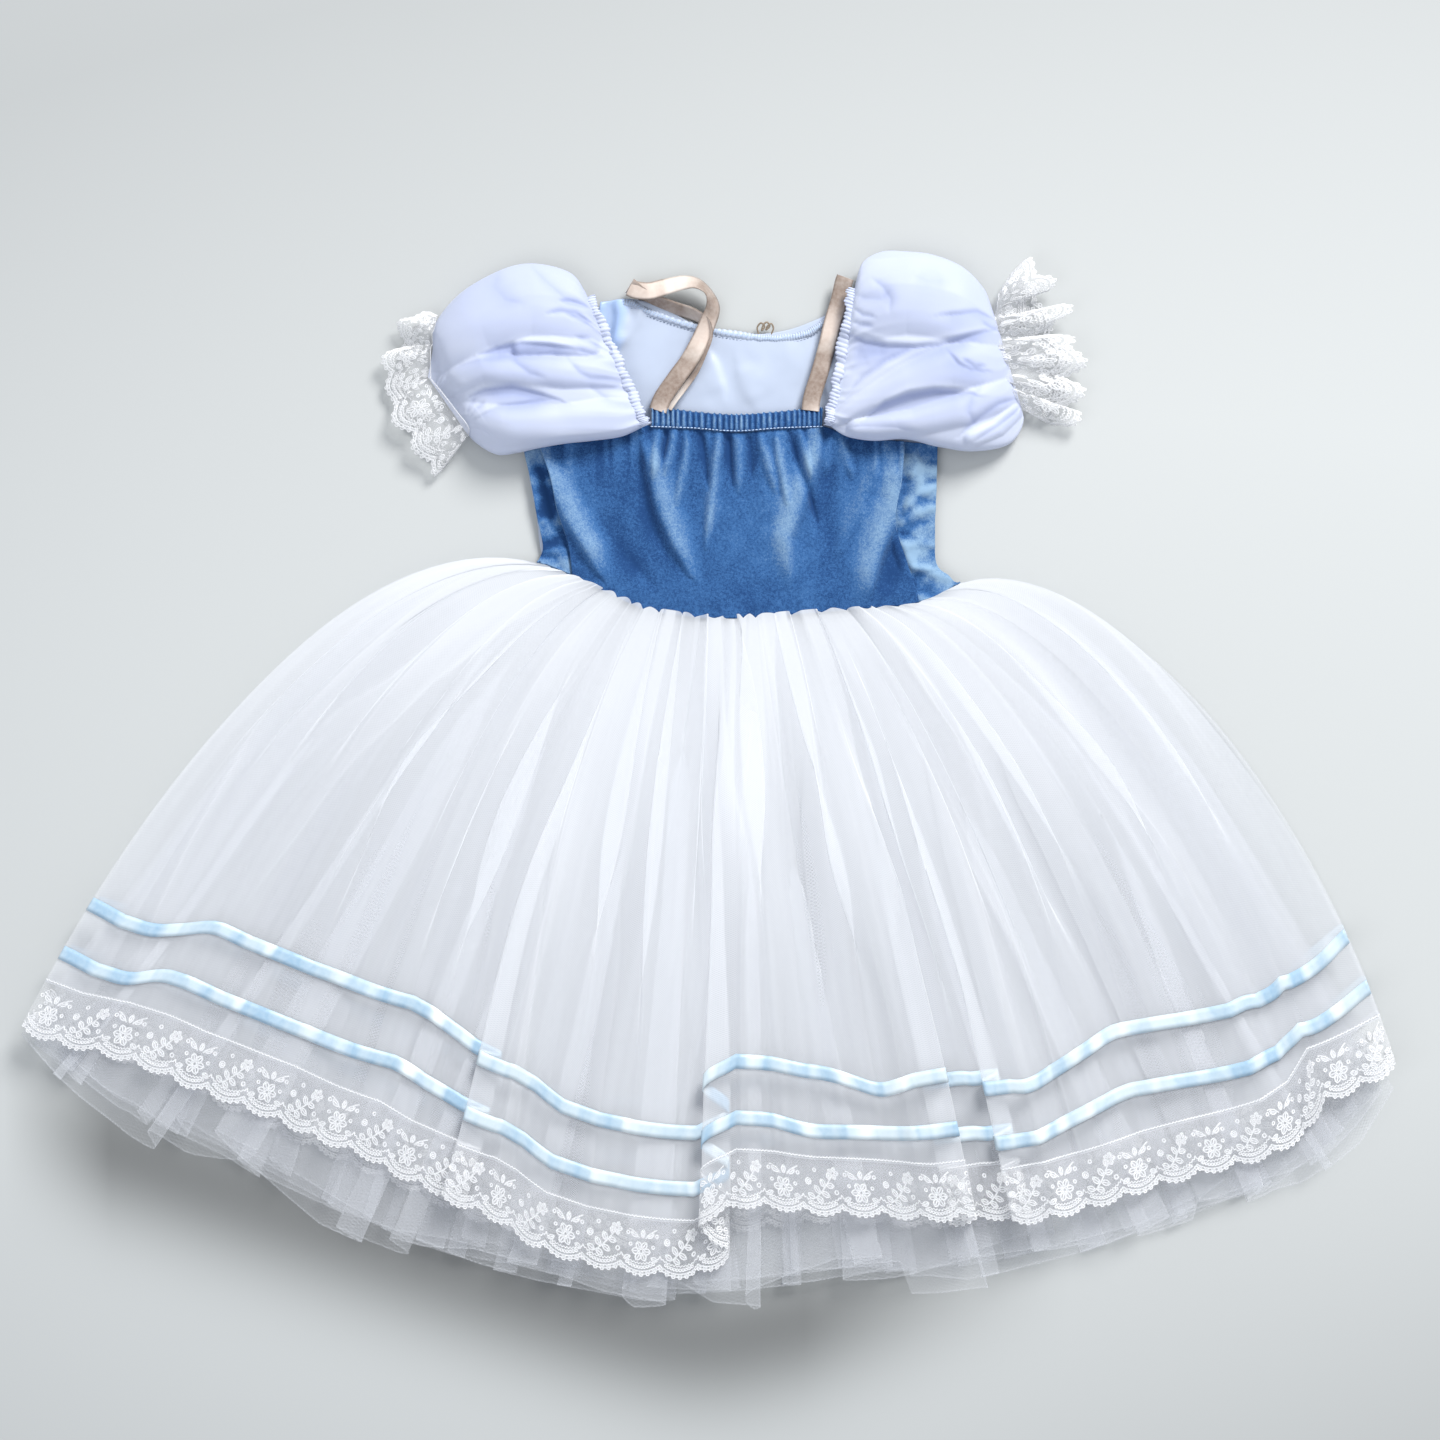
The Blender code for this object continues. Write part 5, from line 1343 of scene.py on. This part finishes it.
def lay_cuff(name, stations, lace):
    """A cuff's gathered lace frill: its ground and embroidery, laid from station to station."""
    ring = np.asarray(stations + (stations[0],), float)
    outside = 1.0 if ring[0, 0] > 0 else -1.0

    def surface(t, v):
        p = curve(ring, t)
        inner = np.stack([p[..., 0], p[..., 1], p[..., 4] + 7.0 * smooth(3.0, 7.0, p[..., 4])], -1)
        outer = np.stack([p[..., 2], p[..., 3], p[..., 5]], -1)
        point = mix(inner, outer, v[..., None])
        point[..., 2] += 1.2 * np.sin(math.pi * v) + 0.7 * rumple(t * 30, v * 2, 23) * v
        return point

    t = np.linspace(0, 1, 1601)
    run = surface(t, np.full_like(t, 0.8))
    run = np.concatenate([[0], np.cumsum(np.linalg.norm(np.diff(run, axis=0), axis=1))])
    scallops = int(round(run[-1] / CUFF_SCALLOP))

    def place(s, rise, height):
        at = np.interp(s / (scallops * PITCH) * run[-1], run, t)
        v = 1.02 - np.interp(rise, (-4, 28, 40), (-0.12, 0.86, 1.02))
        sideways = surface(at + 0.0015, v) - surface(at - 0.0015, v)
        upward = surface(at, v - 0.02) - surface(at, v + 0.02)
        normal = unit(np.cross(sideways, upward))
        points = surface(at, v) + normal * (0.3 + height)[..., None] * outside
        points[..., 2] = np.maximum(points[..., 2], CUFF_LOW)
        return points

    return lace_cloth(name, place, (scallops, 18, 11), 0.3, outside < 0, lace)


# ---- settings ------------------------------------------------------------------------------------
def colour(name, description, default):
    return FloatVectorProperty(name=name, description=description, default=default, subtype="COLOR",
                               size=3, min=0.0, max=1.0)


def length(name, description, default, low, high):
    return FloatProperty(name=name, description=description, default=default, min=low, max=high,
                         subtype="DISTANCE", unit="LENGTH", precision=5)


def share(name, description, default):
    return FloatProperty(name=name, description=description, default=default, min=0.05, max=1.0,
                         subtype="FACTOR")


class TutuColours(bpy.types.PropertyGroup):
    """Colours of the cloths."""
    tulle: colour("Tulle", "Outer skirt's sheer tulle", (0.73, 0.75, 0.79))
    net: colour("Net", "Stiff petticoat net", (0.68, 0.70, 0.745))
    lace: colour("Lace", "Embroidery thread of the lace", (0.93, 0.94, 0.97))
    ribbon: colour("Ribbon", "Satin ribbon on the skirt", (0.54, 0.64, 0.71))
    # the ribbon's painted shade, as a shaded copy of its colour
    ribbon_dark: colour("Ribbon, shaded", "Ribbon turned from the light", (0.29, 0.45, 0.61))
    velvet: colour("Velvet", "Bodice velvet", (0.040, 0.125, 0.315))
    # the velvet's dark and pale: its pile's lie, and also painted shade and painted highlights on
    # its folds
    velvet_dark: colour("Velvet, dark", "Velvet with its pile to the eye", (0.011, 0.047, 0.155))
    velvet_pale: colour("Velvet, pale", "Velvet with its pile lying away", (0.23, 0.36, 0.52))
    lining: colour("Lining", "White satin lining and binding", (0.445, 0.51, 0.65))
    chiffon: colour("Chiffon", "Puff sleeves", (0.645, 0.70, 0.87))
    strap: colour("Strap", "Tan satin straps", (0.72, 0.61, 0.55))
    # the strap's painted shade, as a shaded copy of its colour
    strap_dark: colour("Strap, shaded", "Strap turned from the light", (0.225, 0.165, 0.135))
    thread: colour("Thread", "Pale sewing thread", (0.50, 0.66, 0.92))


class TutuSizes(bpy.types.PropertyGroup):
    """Sizes of the trims and how much the sheer cloths cover."""
    ribbon_width: length("Ribbon width", "Width of the satin ribbons", 0.010, 0.004, 0.025)
    lower_rise: length("Lower ribbon", "Height of its middle over the hem", 0.060, 0.045, 0.090)
    upper_rise: length("Upper ribbon", "Height of its middle over the hem", 0.098, 0.080, 0.160)
    thread: length("Lace thread", "Width of an embroidery thread", 0.00095, 0.0003, 0.002)
    casing_pleats: IntProperty(name="Casing pleats", description="Narrow pleats in the neck casing",
                               default=31, min=8, max=60)
    tulle_cover: share("Tulle cover", "Share of light one tulle layer stops", 0.34)
    net_cover: share("Net cover", "Share of light one net layer stops", 0.26)


def look(name):
    """A colour from the settings."""
    return tuple(getattr(bpy.context.scene.tutu_colours, name))


def darker(colour, share):
    return [part * share for part in colour]


def attribute(tree, name):
    return add(tree, "ShaderNodeAttribute", attribute_name=name).outputs["Fac"]


def principled(tree, tint, roughness, normal, **sockets):
    values = {"Base Color": tint, "Roughness": roughness, "Normal": normal}
    values.update({key.replace("_", " "): value for key, value in sockets.items()})
    return add(tree, "ShaderNodeBsdfPrincipled", values).outputs[0]


def let_through(tree, share, front, tint):
    """A cloth's shader that lets a share of the light through."""
    back = add(tree, "ShaderNodeBsdfTranslucent", {"Color": tint}).outputs[0]
    return add(tree, "ShaderNodeMixShader", {0: share, 1: front, 2: back}).outputs[0]


@cache
def tulle_material():
    cover = bpy.context.scene.tutu_sizes.tulle_cover
    return sheer("tulle", look("tulle"), cover, 1.0, 0.07, 0.15)


@cache
def net_material():
    cover = bpy.context.scene.tutu_sizes.net_cover
    return sheer("net", look("net"), cover, 1.7, 0.3, 0.15)


@cache
def lace_ground_material():
    return sheer("lace_ground", look("lace"), 0.17, 1.5, 0.5, 0.15)


@cache
def lace_thread_material():
    material, tree = new_tree("lace_thread")
    fine = noise(tree, solid_mm(tree), 1.4, 2.0)
    tint = blend_colour(tree, ramp(tree, fine, 0.3, 0.7), darker(look("lace"), 0.9), look("lace"))
    front = principled(tree, tint, 0.75, bump(tree, fine, 0.5, 0.2), Sheen_Weight=0.3)
    return finished(material, let_through(tree, 0.2, front, tint))


@cache
def velvet_material():
    """Crushed velvet: pale where the pile lies away, dark where it faces up, and grainy, with
    painted highlights and painted shade on its folds from the same attribute.
    """
    material, tree = new_tree("crushed_velvet")
    place = solid_mm(tree)
    lie_and_light = attribute(tree, "nap")
    speck = noise(tree, place, 1.4, 3.0, 0.8)
    for value, low, high, reach in ((noise(tree, place, 0.09, 3.0, 0.6), 0.3, 0.7, 0.2),
                                    (speck, 0.35, 0.65, 0.5),
                                    (noise(tree, place, 0.55, 2.0, 0.7), 0.35, 0.65, 0.34)):
        lie_and_light = maths(tree, "ADD", lie_and_light, ramp(tree, value, low, high, -reach, reach))
    tint = blend_colour(tree, ramp(tree, lie_and_light, -0.9, 0.2), look("velvet_dark"), look("velvet"))
    tint = blend_colour(tree, ramp(tree, lie_and_light, 0.3, 2.3), tint, look("velvet_pale"))
    return finished(material, principled(
        tree, tint, 0.9, bump(tree, speck, 0.45, 0.5), Specular_IOR_Level=0.15, Sheen_Weight=0.75,
        Sheen_Roughness=0.35, Sheen_Tint=(0.50, 0.72, 1.0, 1.0)))


@cache
def lining_material():
    """White satin with a fine grain, bluer where it turns over the shoulder and, as painted shade,
    along its folds.
    """
    material, tree = new_tree("lining_satin")
    cloud = ramp(tree, noise(tree, solid_mm(tree), 0.035, 2.0), 0.35, 0.65)
    grain = noise(tree, cloth_uv(tree, (500, 4200, 1000)), 0.8, 2.0)
    tint = blend_colour(tree, cloud, darker(look("lining"), 0.93), look("lining"))
    # the shoulder's blue, with painted shade along the folds
    turned = ramp(tree, attribute(tree, "nap"), 0.3, 1.1)
    tint = blend_colour(tree, turned, tint, (0.36, 0.49, 0.76))
    return finished(material, principled(
        tree, tint, ramp(tree, grain, 0.3, 0.7, 0.34, 0.46), bump(tree, grain, 0.1, 0.15),
        Specular_IOR_Level=0.5, Sheen_Weight=0.1))


@cache
def chiffon_material():
    """Fine plain-woven chiffon, with painted shade in its creases and painted highlights, from the
    shade attribute.
    """
    material, tree = new_tree("chiffon")
    pale = look("chiffon")
    weave = threads(tree, cloth_uv(tree), 0.7)
    # painted shading: a shaded copy of the chiffon's colour, mixed in where the shade attribute is
    # low
    tint = blend_colour(tree, attribute(tree, "shade"),
                        [part * share for part, share in zip(pale, (0.62, 0.66, 0.82))], pale)
    tint = blend_colour(tree, ramp(tree, weave, 0.2, 1.0, 0.0, 0.12), tint, darker(pale, 0.8))
    front = principled(tree, tint, 0.55, bump(tree, weave, 0.12, 0.15), Specular_IOR_Level=0.35,
                       Sheen_Weight=0.2)
    return finished(material, let_through(tree, 0.22, front, tint))


def thread_material(name, colour):
    """Sewing thread: a fine twist along it and a soft gloss."""
    material, tree = new_tree(name)
    fine = noise(tree, solid_mm(tree), 2.2, 2.0)
    tint = blend_colour(tree, ramp(tree, fine, 0.3, 0.7), darker(colour, 0.8), colour)
    return finished(material, principled(tree, tint, 0.6, bump(tree, fine, 0.4, 0.2)))


def floor_material():
    """The floor, with painted light: paler and darker as the light would fall on it, and a painted
    shadow along the hem.
    """
    material, tree = new_tree("pale_floor")
    place = add(tree, "ShaderNodeTexCoord").outputs["Object"]
    x, y, _ = add(tree, "ShaderNodeSeparateXYZ", {0: place}).outputs

    def product(a, b):
        return maths(tree, "MULTIPLY", a, b)

    def sum_of(a, b, c, clamp=False):
        return maths(tree, "MULTIPLY_ADD", a, b, c, clamp)

    # painted light: paler and darker over the floor as the light would fall
    even = sum_of(x, 0.09, sum_of(y, -0.068, 1.04))
    even = sum_of(product(y, y), -0.615, even)
    even = sum_of(product(x, x), -0.15, even)
    even = maths(tree, "MAXIMUM", maths(tree, "MINIMUM", even, 1.12), 0.8)
    # painted shade: darker towards the corner below and right of the hem
    low = maths(tree, "MAXIMUM", sum_of(y, -1.0, -0.1), 0.0)
    corner = product(maths(tree, "MAXIMUM", x, 0.0), low)
    even = sum_of(maths(tree, "MINIMUM", corner, 0.165), -0.78, even)
    # the painted soft shadow along the hem's two slopes, fading to the right
    away = maths(tree, "SQRT", sum_of(x, x, 0.0025))
    below = maths(tree, "DIVIDE", sum_of(away, -0.36, maths(tree, "ADD", y, 0.396)), 0.050)
    shadow = maths(tree, "EXPONENT", product(product(below, below), -1.0))
    side = product(sum_of(x, -5.5, 1.36, True), sum_of(x, 14.0, 6.7, True))
    even = sum_of(product(shadow, side), -0.60, even)
    tint = blend_colour(tree, even, (0.0, 0.0, 0.0), (0.54, 0.56, 0.571))
    shader = add(tree, "ShaderNodeBsdfDiffuse", {"Color": tint, "Roughness": 0.3})
    return finished(material, shader.outputs[0])


# ---- operators -----------------------------------------------------------------------------------
FLOOR, FLOOR_Z = 4000.0, -0.4     # the floor's half side and its height, just under the cloth, mm
LENS, SENSOR = 85.0, 36.0         # the camera's, mm
CAMERA_OVER = (0.0082, 0.0411)    # the place it looks down on, m
PICTURE_WIDTH = 0.9792            # of the floor in the picture, m
SKY_TINT, SKY_STRENGTH = (0.93, 0.965, 1.0, 1.0), 0.66
# Each light's name, place in m, width in m, power in watts and tint; all aim at the middle.
LIGHTS = (
    ("key_light", (1.45, 2.6, 2.1), 1.4, 170.0, (1.0, 0.985, 0.95)),
    ("fill_light", (-1.6, -0.9, 2.3), 2.4, 20.0, (0.95, 0.97, 1.0)),
)
# The tulle's columns and rows, and which layers cast shadows: only some, as the sheer cloth would
# otherwise shade too much of what it covers.
TULLES = (("skirt_front", 760, 96, False), ("skirt_back", 340, 36, True))
NETS = (("net_front_outer", False), ("net_front_inner", True), ("net_back_inner", False),
        ("net_back_outer", True))
NET_COLUMNS, NET_ROWS = 440, 50
TULLE_ENDS = 37.0                 # over the hem, behind the lace, mm


class TUTU_OT_stage(bpy.types.Operator):
    """Makes the pale floor, the soft studio light and the camera over the garment"""
    bl_idname = "tutu.stage"
    bl_label = "Stage"

    def execute(self, context):
        scene = context.scene
        corners = np.array([[[-FLOOR, FLOOR, FLOOR_Z], [FLOOR, FLOOR, FLOOR_Z]],
                            [[-FLOOR, -FLOOR, FLOOR_Z], [FLOOR, -FLOOR, FLOOR_Z]]])
        sheet_object("studio_floor", corners, floor_material())
        for name, place, size, power, tint in LIGHTS:
            data = bpy.data.lights.new(name, "AREA")
            data.shape, data.size, data.energy, data.color = "DISK", size, power, tint
            light = bpy.data.objects.new(name, data)
            light.location = place
            light.rotation_euler = (-Vector(place)).to_track_quat("-Z", "Y").to_euler()
            scene.collection.objects.link(light)
        world = bpy.data.worlds.new("studio")
        world.use_nodes = True
        sky = world.node_tree.nodes["Background"].inputs
        sky[0].default_value, sky[1].default_value = SKY_TINT, SKY_STRENGTH
        scene.world = world
        lens = bpy.data.cameras.new("camera")
        lens.lens, lens.sensor_width = LENS, SENSOR
        camera = bpy.data.objects.new("camera", lens)
        camera.location = (*CAMERA_OVER, PICTURE_WIDTH * LENS / SENSOR)
        scene.collection.objects.link(camera)
        scene.camera = camera
        scene.view_settings.view_transform = "Standard"
        scene.cycles.use_light_tree = False
        scene.cycles.transparent_max_bounces = 32     # enough for all the sheer layers
        scene.cycles.max_bounces = 4
        scene.cycles.diffuse_bounces = 2
        return {"FINISHED"}


class TUTU_OT_skirt(bpy.types.Operator):
    """Lays the outer tulle and the four petticoat nets, pleated on each other"""
    bl_idname = "tutu.skirt"
    bl_label = "Skirt layers"

    def execute(self, context):
        tulle, net = tulle_material(), net_material()
        for name, columns, rows, casts in TULLES:
            piece = settle(lay_panel(name, columns, rows, TULLE_ENDS, tulle), "tulle", name)
            piece.visible_shadow = casts
        for name, casts in NETS:
            piece = settle(lay_panel(name, NET_COLUMNS, NET_ROWS, 0.0, net), "net", name)
            piece.visible_shadow = casts
        return {"FINISHED"}


class TUTU_OT_ribbons(bpy.types.Operator):
    """Sews the two satin ribbons to the front and back of the skirt"""
    bl_idname = "tutu.ribbons"
    bl_label = "Ribbons"

    def execute(self, context):
        sizes = context.scene.tutu_sizes
        # the ribbons' painted glint colour; 0.0 paints no shade along their edges
        material = satin("ribbon_satin", look("ribbon"), look("ribbon_dark"), (0.82, 0.89, 0.93),
                         50, 0.0)
        for side, outward in (("front", 1), ("back", -1)):
            for level, rise in (("upper", sizes.upper_rise), ("lower", sizes.lower_rise)):
                name = f"ribbon_{level}_{side}"
                settle(lay_ribbon(name, PANELS["skirt_" + side], rise / MM, sizes.ribbon_width / MM,
                                  outward, material), "ribbon_satin", name)
        return {"FINISHED"}


class TUTU_OT_hem_lace(bpy.types.Operator):
    """Makes the hem's lace, front and back: a sheer ground with corded, embroidered scallops"""
    bl_idname = "tutu.hem_lace"
    bl_label = "Hem lace"

    def execute(self, context):
        lay_lace("lace", lay_hem_lace, context.scene.tutu_sizes.thread / MM, (
            ("front", PANELS["skirt_front"], 1), ("back", PANELS["skirt_back"], -1)))
        return {"FINISHED"}


class TUTU_OT_bodice(bpy.types.Operator):
    """Makes the velvet bodice, its satin lining and the gathered neck casing"""
    bl_idname = "tutu.bodice"
    bl_label = "Bodice"

    def execute(self, context):
        velvet, lining = velvet_material(), lining_material()
        settle(velvet_front(velvet), "velvet", "bodice_front")
        for name, outer, seam, tone, seed in (
                ("bodice_side_left", SIDE_LEFT_OUTER, SIDE_LEFT_SEAM, 0.0, 31),
                ("bodice_side_right", SIDE_RIGHT_OUTER, SIDE_RIGHT_SEAM, 1.0, 33)):
            settle(velvet_side(name, outer, seam, tone, seed, velvet), "velvet", name)
        settle(back_sheet("bodice_back", BACK_Z, 0.8, VELVET, (), 50, 36, velvet),
               "velvet", "bodice_back")
        settle(back_sheet("back_lining", LINING_Z, 0.0, SATIN, LINING_FOLDS, 110, 76, lining),
               "lining_satin", "back_lining")
        settle(neck_casing(context.scene.tutu_sizes.casing_pleats, velvet),
               "velvet", "front_neck_casing")
        return {"FINISHED"}


class TUTU_OT_neck(bpy.types.Operator):
    """Makes the straps, the back neckline's binding and loop, and the stitching round the neck"""
    bl_idname = "tutu.neck"
    bl_label = "Straps and neck"

    def execute(self, context):
        # the straps' painted glint colour; 1.0 paints full shade along their edges
        strap = satin("strap_satin", look("strap"), look("strap_dark"), (1.0, 0.95, 0.90),
                      26, 1.0, 0.3)
        for name, line, seed, steps, nodes in (
                ("strap_left", STRAP_LEFT, 3, 140, ("strap_left",)),
                ("strap_left_end", STRAP_LEFT_UNDER, 5, 140, ()),
                ("strap_right", STRAP_RIGHT, 7, 80, ("strap_right",))):
            piece = ribbon_strip(name, line, STRAP_WIDTH, strap, seed, steps)
            settle(piece, "strap_satin", *nodes)
        neck = curve(BACK_NECK, np.linspace(0.1, 0.96, 60))

        def neck_line(inside, z):
            return np.concatenate([neck - (0, inside), np.full((60, 1), z)], 1)

        centre = neck_line(2.8, 3.4)
        binding = frill_cord("back_neck_binding", centre, 70, 5.6, 1.3, 0.25, 41, lining_material())
        settle(binding, "lining_satin", "back_neck_binding")
        pale = thread_material("thread_pale", look("thread"))
        grey = thread_material("thread_grey", (0.13, 0.18, 0.29))
        tree, dark_tree = stitch_tree(pale), stitch_tree(grey)
        low = curve(CASING_BOTTOM, np.linspace(0.0, 1.0, 40))
        seam = np.concatenate([low - (0, 1.0), np.full((40, 1), 8.6)], 1)
        # each row's name, node tree, line, stitch pitch, reach, width, lean and zigzag, and slot
        for name, stitch, line, pitch, reach, width, lean, zigzag, slot in (
                ("casing_stitches", tree, seam, 2.4, 2.3, 0.8, 0.0, 0.0, "velvet"),
                ("binding_stitches", tree, centre + (0, 0, 1.2), 1.7, 3.4, 0.6, 1.2, 0.0,
                 "lining_satin"),
                ("lining_stitches", dark_tree, neck_line(6.3, 3.5), 2.4, 1.7, 0.4, 0.0, 0.2,
                 "lining_satin")):
            settle(sew(name, stitch, line, Pitch=pitch * MM, Length=reach * MM, Width=width * MM,
                       Lean=lean, Zigzag=zigzag), slot)
        tan = thread_material("loop_thread", (0.27, 0.21, 0.155))
        settle(cord("back_neck_loop", LOOPS, LOOP_RADIUS, tan), "strap_satin", "back_neck_loop")
        return {"FINISHED"}


class TUTU_OT_sleeves(bpy.types.Operator):
    """Makes the chiffon puff sleeves with their scrunched elastic edges"""
    bl_idname = "tutu.sleeves"
    bl_label = "Sleeves"

    def execute(self, context):
        chiffon = chiffon_material()
        for side, sections, puffs, tucks, seed in (
                ("left", SLEEVE_LEFT, PUFFS_LEFT, TUCKS_LEFT, 51),
                ("right", SLEEVE_RIGHT, PUFFS_RIGHT, TUCKS_RIGHT, 61)):
            piece, points = puff("sleeve_" + side, sections, puffs, tucks, seed, chiffon)
            settle(piece, "chiffon", "sleeve_" + side)
            end = points[-1] if side == "left" else points[-1, ::-1]
            crown = end[3:130:5] + (1.0 if side == "left" else -1.2, 0, 0.3)
            name = "sleeve_elastic_" + side
            settle(frill_cord(name, crown, 40, 8.5, 1.8, 0.7, seed + 5, chiffon), "elastic", name)
        return {"FINISHED"}


class TUTU_OT_cuffs(bpy.types.Operator):
    """Makes the gathered lace frills at the wrists"""
    bl_idname = "tutu.cuffs"
    bl_label = "Cuffs"

    def execute(self, context):
        lay_lace("cuff_lace", lay_cuff, context.scene.tutu_sizes.thread / MM * CUFF_THREAD, (
            ("left", CUFF_LEFT), ("right", CUFF_RIGHT)))
        return {"FINISHED"}


class TUTU_OT_cuts(bpy.types.Operator):
    """Does nothing; the cloths' flat cuts are not stated"""
    bl_idname = "tutu.cuts"
    bl_label = "Cuts"

    def execute(self, context):
        return {"FINISHED"}


OPERATORS = (TUTU_OT_stage, TUTU_OT_skirt, TUTU_OT_ribbons, TUTU_OT_hem_lace, TUTU_OT_bodice,
             TUTU_OT_neck, TUTU_OT_sleeves, TUTU_OT_cuffs, TUTU_OT_cuts)


class TUTU_PT_panel(bpy.types.Panel):
    """Lists the garment's settings, and the operators that make its pieces"""
    bl_idname = "TUTU_PT_panel"
    bl_label = "Tutu"
    bl_space_type = "VIEW_3D"
    bl_region_type = "UI"
    bl_category = "Tutu"

    def draw(self, context):
        for group in (context.scene.tutu_sizes, context.scene.tutu_colours):
            box = self.layout.box()
            for key in group.__annotations__:
                box.prop(group, key)
        for operator in OPERATORS:
            self.layout.operator(operator.bl_idname)


CLASSES = (TutuColours, TutuSizes) + OPERATORS + (TUTU_PT_panel,)


def register():
    for cls in CLASSES:
        bpy.utils.register_class(cls)
    bpy.types.Scene.tutu_colours = PointerProperty(type=TutuColours)
    bpy.types.Scene.tutu_sizes = PointerProperty(type=TutuSizes)


def unregister():
    del bpy.types.Scene.tutu_sizes
    del bpy.types.Scene.tutu_colours
    for cls in reversed(CLASSES):
        bpy.utils.unregister_class(cls)


def main():
    register()
    for operator in OPERATORS:
        group, name = operator.bl_idname.split(".")
        getattr(getattr(bpy.ops, group), name)()


if __name__ == "__main__":
    main()
